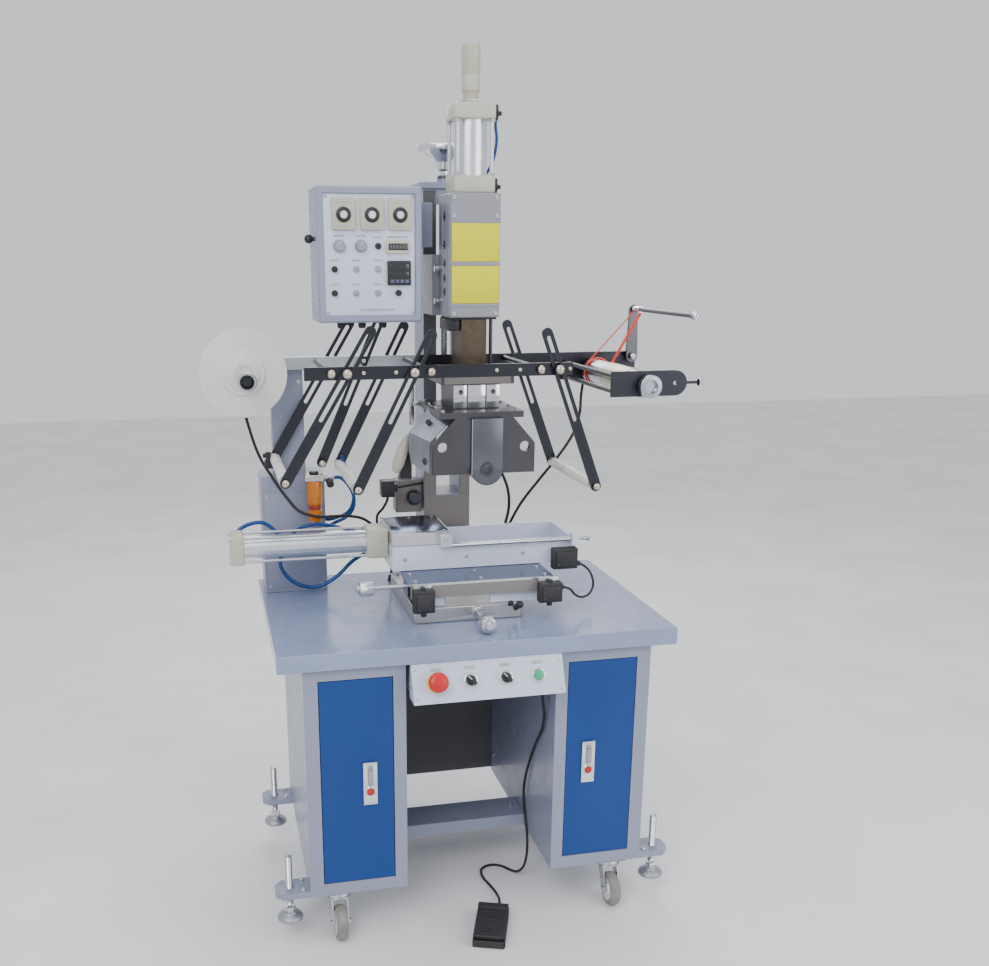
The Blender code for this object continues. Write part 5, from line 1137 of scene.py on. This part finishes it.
def reels():
    """Unwind reel with its stepped hub and steel tube, rewind drum, pinch rod and rubber bands."""
    low, high = span("unwind_reel")
    x, z, r = (low.x + high.x) / 2, (low.z + high.z) / 2, (high.x - low.x) / 2
    disc = high.y
    Kit().lathe([(0.0125, disc), (r - 0.001, disc), (r, disc - 0.0012), (r, disc - 0.003),
        (r - 0.001, disc - 0.0042), (0.05, disc - 0.0042), (0.048, disc - 0.0075), (0.045, disc - 0.01),
        (0.036, disc - 0.0105), (0.0345, disc - 0.013), (0.0335, disc - 0.019), (0.03, disc - 0.02),
        (0.0125, disc - 0.02)], (x, 0, z), "Y", 96, closed=True).piece("reel_disc", "reel", "paper",
        ("unwind_reel",))
    Kit().lathe([(0.014, disc - 0.018), (0.0198, disc - 0.018), (0.02, low.y + 0.04), (0.02, low.y + 0.002),
        (0.0185, low.y), (0.0125, low.y), (0.0125, low.y + 0.003)], (x, 0, z), "Y",
        56, closed=True).piece("reel_tube", "reel", "steel_y")
    Kit().lathe([(0.0122, low.y - 0.0002), (0.015, low.y - 0.0002), (0.0165, low.y + 0.003),
        (0.0165, low.y + 0.012), (0.0122, low.y + 0.012)], (x, 0, z), "Y",
        48, closed=True).piece("reel_collar", "reel", "black")
    low, high = span("rewind_drum")
    x, z, r = (low.x + high.x) / 2, (low.z + high.z) / 2, (high.z - low.z) / 2
    rear, front = 0.1378, -0.1698
    drum = Kit().lathe([(0, rear), (r - 0.0015, rear), (r - 0.0002, rear - 0.0015),
        (r - 0.0002, front + 0.0015), (r - 0.0015, front), (0.01, front), (0.0064, front),
        (0.0064, front - 0.019), (0.0225, front - 0.0195), (0.0236, front - 0.021), (0.0236, front - 0.037),
        (0.022, front - 0.0385), (0.014, front - 0.0388), (0.0128, front - 0.037), (0.012, front - 0.03),
        (0, front - 0.03)], (x, 0, z), "Y", 64)
    drum.rod((x, rear - 0.002, z), (x, high.y, z), 0.0064, 24)
    drum.piece("rewind_roll", "drum", "foil", ("rewind_drum",))
    Kit().lathe([(r - 0.0008, 0.02), (r + 0.0006, 0.02), (r + 0.0008, 0.018), (r + 0.0008, front + 0.062),
        (r + 0.0006, front + 0.06), (r - 0.0008, front + 0.06)], (x, 0, z), "Y",
        64, closed=True).piece("wound_foil", "drum", "gold_foil")
    ring = [(r + 0.0025 + 0.0022 * math.cos(i * math.pi / 6),
        0.11 + 0.0042 * math.sin(i * math.pi / 6)) for i in range(12)]
    Kit().lathe(ring, (x, 0, z), "Y", 64, closed=True).piece("drum_band", "drum", "band")
    motor = Kit().box((x - 0.03, x + 0.03), (0.1705, 0.183), (z - 0.022, z + 0.028), 0.002)
    motor.lathe([(0.0075, 0), (0.028, 0), (0.028, 0.018), (0.025, 0.0205), (0.0075, 0.0205)], (x, 0.183, z),
        "Y", 48, closed=True)
    motor.piece("rewind_motor", "machine", "dark_steel")
    pivot_x, rod_z = 0.463, 1.304
    Kit().dome((pivot_x, 0.1365, 1.196), "-Y", 0.0075, 0.005).piece("pinch_pivot_bolt", "machine", "steel")
    tips = Kit().ball((pivot_x, -0.186, rod_z), 0.0095, 28)
    tips.lathe(oblong(0.0048, 0.0072, -0.018, 0.018), (pivot_x, 0.12, rod_z), "Y", 32, closed=True)
    tips.piece("pinch_rod_ends", "pinch", "chrome")
    Kit().lathe([(0, 0.0), (0.0078, 0.0), (0.0082, 0.001), (0.0082, 0.0085), (0.0072, 0.0098), (0, 0.01)],
        (0.481, -0.181, 1.169), "X", 36, flutes=0.0005).piece("thumb_wheel", "machine", "steel")
    strands = {"thin": (0.0015, (0.344, 0.112, 1.188), (0.459, 0.115, 1.308)),
        "thick": (0.0034, (0.397, 0.112, 1.176), (0.467, 0.11, 1.299))}
    for name, (radius, foot_at, top_at) in strands.items():
        strand = Kit()
        steps = [Vector(foot_at).lerp(Vector(top_at), i / 16) for i in range(17)]
        for lower, upper in zip(steps, steps[1:]):
            strand.rod(lower, upper, radius, 16)
        between = ("machine", "pinch", Vector(foot_at) + PLAN, Vector(top_at) + PLAN)
        strand.piece(f"{name}_band", between, "band")


# ---------------------------------------------------------------- slides
def slides():
    """Trim of the table slides and the work carriage."""
    knurl = Kit()
    low, high = span("y_feed_knob")
    x, z = (low.x + high.x) / 2, (low.z + high.z) / 2
    knurl.rod((x, -0.01, z), (x, -0.213, z), 0.0059, 24)
    knurl.lathe([(0, 0.213), (0.015, 0.213), (0.0178, 0.2145), (0.018, 0.216), (0.018, 0.238),
        (0.017, 0.24), (0.015, 0.2412), (0, 0.2412)], (x, 0, z), "-Y", 90, flutes=0.0005)
    knurl.lathe([(0, 0.24), (0.0085, 0.24), (0.0095, 0.244), (0.0075, 0.2468), (0, 0.247)], (x, 0, z), "-Y",
        36)
    knurl.piece("y_knob_knurled", "y_knob", "steel_y", ("y_feed_knob",))
    Kit().lathe([(0.0065, 0.14), (0.013, 0.14), (0.013, 0.15), (0.0115, 0.1515), (0.0065, 0.1515)],
        (x, 0, z), "-Y", 40, closed=True).piece("y_screw_collar", "machine", "steel")
    low, high = span("x_feed_knob")
    y, z = (low.y + high.y) / 2, (low.z + high.z) / 2
    cross = Kit().rod((0.01, y, z), (-0.2, y, z), 0.0049, 24)
    cross.lathe([(0, 0.2), (0.014, 0.2), (0.0163, 0.2015), (0.0165, 0.203), (0.0165, 0.229), (0.015, 0.231),
        (0, 0.2315)], (0, y, z), "-X", 84, flutes=0.0005)
    cross.lathe([(0, 0.231), (0.008, 0.231), (0.0085, 0.236), (0.0065, 0.2388), (0, 0.239)], (0, y, z),
        "-X", 36)
    cross.piece("x_knob_knurled", "x_knob", "steel_x", ("x_feed_knob",))
    plate_low, plate_high = span("x_table_plate")
    Kit().box((plate_low.x + 0.001, plate_high.x - 0.001), (plate_low.y - 0.0006, plate_low.y + 0.0006),
        (0.749, 0.7546), 0.0004, 1).piece("plate_front_edge", "x_table", "steel_x")
    Kit().box((plate_low.x + 0.003, plate_high.x - 0.003), (plate_low.y - 0.0005, plate_low.y + 0.0005),
        (0.7225, 0.7485), 0.0003, 1).piece("plate_front_face", "x_table", "taupe", slot="bright_steel")
    tops = Kit()
    for bx in (-0.115, 0.03, 0.174):
        for by in (-0.128, -0.068):
            tops.bolt((bx, by, 0.755), "Z", 0.0046, 0.003)
    tops.piece("plate_screws", "x_table", "steel")
    lever = Kit().rod((0.106, -0.138, 0.684), (0.106, -0.15, 0.69), 0.005)
    lever.rod((0.106, -0.148, 0.689), (0.106, -0.166, 0.7), 0.0028)
    lever.ball((0.106, -0.17, 0.703), 0.0085, 32)
    lever.rod((0.0913, -0.136, 0.6905), (0.0913, -0.15, 0.7005), 0.0026)
    lever.ball((0.0913, -0.1515, 0.7016), 0.0062, 28)
    lever.piece("slide_lock_lever", "machine", "black")
    base_trim = Kit()
    for bx in (-0.108, 0.108):
        for by in (-0.12, 0.13):
            base_trim.bolt((bx, by, 0.6985), "Z", 0.006, 0.005)
    for bx in (-0.07, 0.145):
        base_trim.bolt((bx, -0.13, 0.735), "-Y", 0.0045, 0.003)
    base_trim.piece("base_screws", "machine", "steel")
    Kit().box((-0.06, 0.08), (-0.1312, -0.1298), (0.724, 0.732), 0.0003, 1).piece("scale_strip", "saddle",
        "steel_x")
    marks = Kit()
    for i in range(29):
        mx = -0.056 + i * 0.0046
        marks.box((mx - 0.0003, mx + 0.0003), (-0.1316, -0.131), (0.7242, 0.729 if i % 5 else 0.7315), 0)
    marks.piece("scale_marks", "saddle", "dark", slot="black_plastic")
    carriage_top = span("work_carriage")[1].z
    top = Kit()
    for bx in (-0.135, -0.0815, -0.028):
        for by in (-0.022, 0.115):
            top.bolt((bx, by, carriage_top), "Z", 0.004, 0.0012)
    top.bolt((-0.031, -0.062, 0.823), "-Y", 0.0055, 0.005)
    top.piece("carriage_screws", "carriage", "steel")
    Kit().box((-0.144, -0.019), (-0.03, 0.123), (carriage_top - 0.0004, carriage_top + 0.0006),
        0.0004).piece("carriage_top_sheet", "carriage", "blue_steel", slot="machined_aluminium")
    bars = Kit().box((-0.012, 0.262), (-0.0398, -0.0325), (0.8095, 0.8101), 0.0002, 1)
    bars.box((-0.012, 0.262), (0.1225, 0.1298), (0.8095, 0.8101), 0.0002, 1)
    bars.piece("slide_lip_wear_strips", "x_table", "steel_x")
    side_screws = Kit()
    for bx in (-0.12, 0.02, 0.15, 0.25):
        side_screws.bolt((bx, -0.04, 0.782), "-Y", 0.0042, 0.0025)
    for by in (-0.02, 0.045, 0.11):
        side_screws.bolt((0.275, by, 0.785), "X", 0.0045, 0.003)
    side_screws.piece("slide_screws", "x_table", "steel")
    rod_tip = Kit().nut((0.296, -0.052, 0.812), "X", 0.0068, 0.006)
    rod_tip.lathe(oblong(0, 0.005, 0, 0.01), (0.2845, -0.052, 0.812), "X", 24)
    rod_tip.piece("stop_rod_nuts", "carriage", "steel")
    slide_cylinder()
    limit_switches()


def slide_cylinder():
    """Air cylinder with cream caps, a round tube, tie rods and speed fittings."""
    y, z = 0.032, 0.81
    Kit().lathe(oblong(0.0225, 0.025, -0.47, -0.192), (0, y, z), "X",
        64, closed=True).piece("slide_cylinder_tube", "x_table", "satin", ("air_cylinder",))
    caps = Kit()
    for x0, x1 in ((-0.4948, -0.465), (-0.197, -0.1486)):
        caps.box((x0, x1), (y - 0.032, y + 0.032), (z - 0.033, z + 0.033), 0.0045, 3)
    caps.piece("slide_cylinder_caps", "x_table", "cream")
    rods = Kit()
    for sy in (-1, 1):
        for sz in (-1, 1):
            at = (y + sy * 0.026, z + sz * 0.026)
            rods.rod((-0.467, *at), (-0.195, *at), 0.0033, 16)
            rods.bolt((-0.4948, *at), "-X", 0.0055, 0.0035)
    rods.piece("slide_tie_rods", "x_table", "steel_x")
    ports = Kit()
    for x in (-0.48, -0.172):
        ports.lathe([(0, 0.0105), (0.005, 0.0105), (0.0068, 0.008), (0.0068, -0.001), (0, -0.001)],
            (x, y + 0.032, 0.822), "Y", 24)
    ports.box((-0.1262, -0.0498), (0.1302, 0.1652), (0.7718, 0.8062), 0.0015)
    ports.piece("slide_ports", "x_table", "black")
    cable("rear_cap_hose", HOSE_REAR, 0.0046, "x_table", "hose", stands_for=("slide_hoses",))
    cable("front_cap_hose", HOSE_FRONT, 0.004, "x_table", "hose")


HOSE_REAR = [
    (-0.48, 0.066, 0.822), (-0.481, 0.078, 0.826), (-0.468, 0.094, 0.838), (-0.445, 0.1, 0.8465),
    (-0.4208, 0.1, 0.848), (-0.398, 0.1, 0.834), (-0.383, 0.098, 0.812), (-0.38, 0.094, 0.78),
    (-0.3835, 0.093, 0.7487), (-0.372, 0.095, 0.724), (-0.3518, 0.098, 0.7039), (-0.3285, 0.1, 0.6925),
    (-0.3033, 0.1, 0.689), (-0.275, 0.1, 0.699), (-0.2481, 0.101, 0.7167), (-0.2168, 0.108, 0.7437),
    (-0.186, 0.124, 0.756), (-0.156, 0.141, 0.765), (-0.136, 0.15, 0.775), (-0.124, 0.152, 0.782),
]
HOSE_FRONT = [
    (-0.172, 0.066, 0.822), (-0.174, 0.08, 0.826), (-0.188, 0.094, 0.82), (-0.2076, 0.1, 0.817),
    (-0.24, 0.1, 0.826), (-0.272, 0.1, 0.835), (-0.3019, 0.1, 0.838), (-0.332, 0.104, 0.831),
    (-0.35, 0.116, 0.814), (-0.34, 0.13, 0.796), (-0.308, 0.136, 0.788), (-0.266, 0.138, 0.788),
    (-0.222, 0.14, 0.792), (-0.178, 0.143, 0.796), (-0.146, 0.147, 0.797), (-0.124, 0.149, 0.797),
]


def limit_switches():
    """Three limit switches with brackets; two on the plate's front edge, one on the slide."""
    cases, screws, brackets = Kit(), Kit(), Kit()
    for x0, x1, y0, y1, z0, z1 in ((-0.126, -0.08, -0.172, -0.1495, 0.697, 0.7465),
            (0.15, 0.202, -0.172, -0.1495, 0.703, 0.7465)):
        middle = (x0 + x1) / 2
        cases.box((x0, x1), (y0, y1), (z0, z1), 0.0025, 3)
        cases.box((x0 + 0.006, x1 - 0.006), (y0 - 0.004, y0 + 0.001), (z0 + 0.006, z1 - 0.006), 0.0015, 2)
        cases.rod((middle, (y0 + y1) / 2, z0 + 0.002), (middle, (y0 + y1) / 2, z0 - 0.009), 0.0062, 20)
        cases.box((middle - 0.004, middle + 0.004), (y0 + 0.004, y1 - 0.006), (z1 - 0.001, z1 + 0.006),
            0.001)
        brackets.box((x0 + 0.004, x1 - 0.004), (-0.15, -0.1432), (z0 + 0.01, 0.7545), 0.0005)
        for bx in (x0 + 0.011, x1 - 0.011):
            for bz in (z0 + 0.011, z1 - 0.011):
                screws.bolt((bx, y0 - 0.004, bz), "-Y", 0.0026, 0.0014)
    cases.rod((0.196, -0.157, 0.733), (0.208, -0.157, 0.733), 0.0055, 20)
    cases.box((0.215, 0.273), (-0.064, -0.0405), (0.744, 0.7915), 0.0025, 3)
    cases.box((0.221, 0.267), (-0.068, -0.063), (0.75, 0.7855), 0.0015, 2)
    cases.rod((0.27, -0.052, 0.756), (0.2815, -0.0525, 0.752), 0.0058, 20)
    for bx in (0.227, 0.261):
        for bz in (0.756, 0.7795):
            screws.bolt((bx, -0.068, bz), "-Y", 0.0026, 0.0014)
    cases.piece("limit_switch_cases", "x_table", "black_rough")
    screws.piece("limit_switch_screws", "x_table", "dark_steel", slot="bright_steel")
    brackets.piece("limit_switch_brackets", "x_table", "steel")


# ---------------------------------------------------------------- fixed cables
def cables():
    """Cables clipped at both ends; each ends in a gland on the table or in a housing."""
    table = TABLE_Z
    cable("reel_cable", [(-0.448, 0.176, 1.176), (-0.449, 0.186, 1.15), (-0.446, 0.194, 1.108),
        (-0.437, 0.197, 1.062), (-0.425, 0.197, 1.015), (-0.414, 0.197, 0.983), (-0.403, 0.189, 0.96),
        (-0.392, 0.165, 0.944), (-0.378, 0.14, 0.922), (-0.36, 0.12, 0.897), (-0.335, 0.1, 0.87),
        (-0.296, 0.09, 0.858), (-0.258, 0.094, 0.856), (-0.22, 0.122, 0.848), (-0.182, 0.154, 0.832),
        (-0.148, 0.18, 0.8), (-0.122, 0.196, 0.755), (-0.11, 0.202, 0.71), (-0.108, 0.203, table + 0.012)],
        0.0034, "machine", "cable")
    cable("rewind_cable", [(0.366, 0.2, 1.15), (0.362, 0.196, 1.125), (0.354, 0.182, 1.1),
        (0.347, 0.168, 1.06), (0.33, 0.16, 1.015), (0.296, 0.158, 0.965), (0.246, 0.158, 0.905),
        (0.205, 0.164, 0.85), (0.178, 0.178, 0.79), (0.162, 0.196, 0.73), (0.156, 0.208, 0.695),
        (0.156, 0.212, table + 0.012)], 0.0034, "machine", "cable")
    cable("heater_cable", [(0.0775, 0.215, 1.02), (0.089, 0.208, 1.008), (0.115, 0.185, 0.985),
        (0.149, 0.16, 0.935), (0.168, 0.152, 0.885), (0.171, 0.158, 0.83), (0.158, 0.18, 0.765),
        (0.138, 0.205, 0.705), (0.13, 0.214, table + 0.012)], 0.0036, "machine", "cable")
    cable("sensor_cable", [(-0.1265, 0.14, 0.888), (-0.127, 0.142, 0.876), (-0.136, 0.15, 0.856),
        (-0.148, 0.162, 0.835), (-0.142, 0.178, 0.8), (-0.118, 0.192, 0.76), (-0.088, 0.198, 0.715),
        (-0.082, 0.199, table + 0.012)], 0.003, "machine", "cable")
    block = Kit().box((-0.142, -0.111), (0.125, 0.158), (0.8865, 0.9245), 0.0025, 3)
    block.box((-0.111, -0.102), (0.14, 0.152), (0.896, 0.914), 0.0015)
    block.rod((-0.104, 0.146, 0.905), (-0.034, 0.185, 0.905), 0.003)
    block.piece("cable_connector", "machine", "black")
    glands = Kit()
    for x, y in ((-0.108, 0.203), (0.156, 0.212), (0.13, 0.214), (-0.082, 0.199)):
        glands.lathe([(0, 0.0002), (0.0105, 0.0002), (0.0105, 0.004), (0.0085, 0.0045), (0.0085, 0.011),
            (0.0062, 0.0145), (0.0038, 0.015), (0, 0.015)], (x, y, table), "Z", 24)
    glands.rod((-0.448, 0.17, 1.176), (-0.448, 0.184, 1.176), 0.01, 24, 0.0015)
    glands.piece("table_glands", "machine", "black")
    cable("limit_cable", [(0.28, -0.0525, 0.7524), (0.29, -0.056, 0.748), (0.3, -0.066, 0.738),
        (0.304, -0.078, 0.724), (0.3018, -0.09, 0.711), (0.29, -0.106, 0.7), (0.2747, -0.12, 0.6963),
        (0.256, -0.133, 0.699), (0.238, -0.145, 0.711), (0.224, -0.154, 0.726), (0.206, -0.157, 0.733)],
        0.0026, "x_table", "cable")


# ---------------------------------------------------------------- build
finishes()
camera_and_lights()
pedal()
shells()
stand()
switches()
column()
head()
press()
yoke()
controls()
air_supply()
foil_frame()
reels()
slides()
cables()

floor = bpy.data.objects.new("floor", bpy.data.meshes.new("floor"))
ground = bmesh.new()
bmesh.ops.create_grid(ground, x_segments=1, y_segments=1, size=8)
ground.to_mesh(floor.data)
ground.free()
floor.data.materials.append(MATERIALS["floor"])
floor.location = (0, 0, -0.0005)
bpy.context.scene.collection.objects.link(floor)
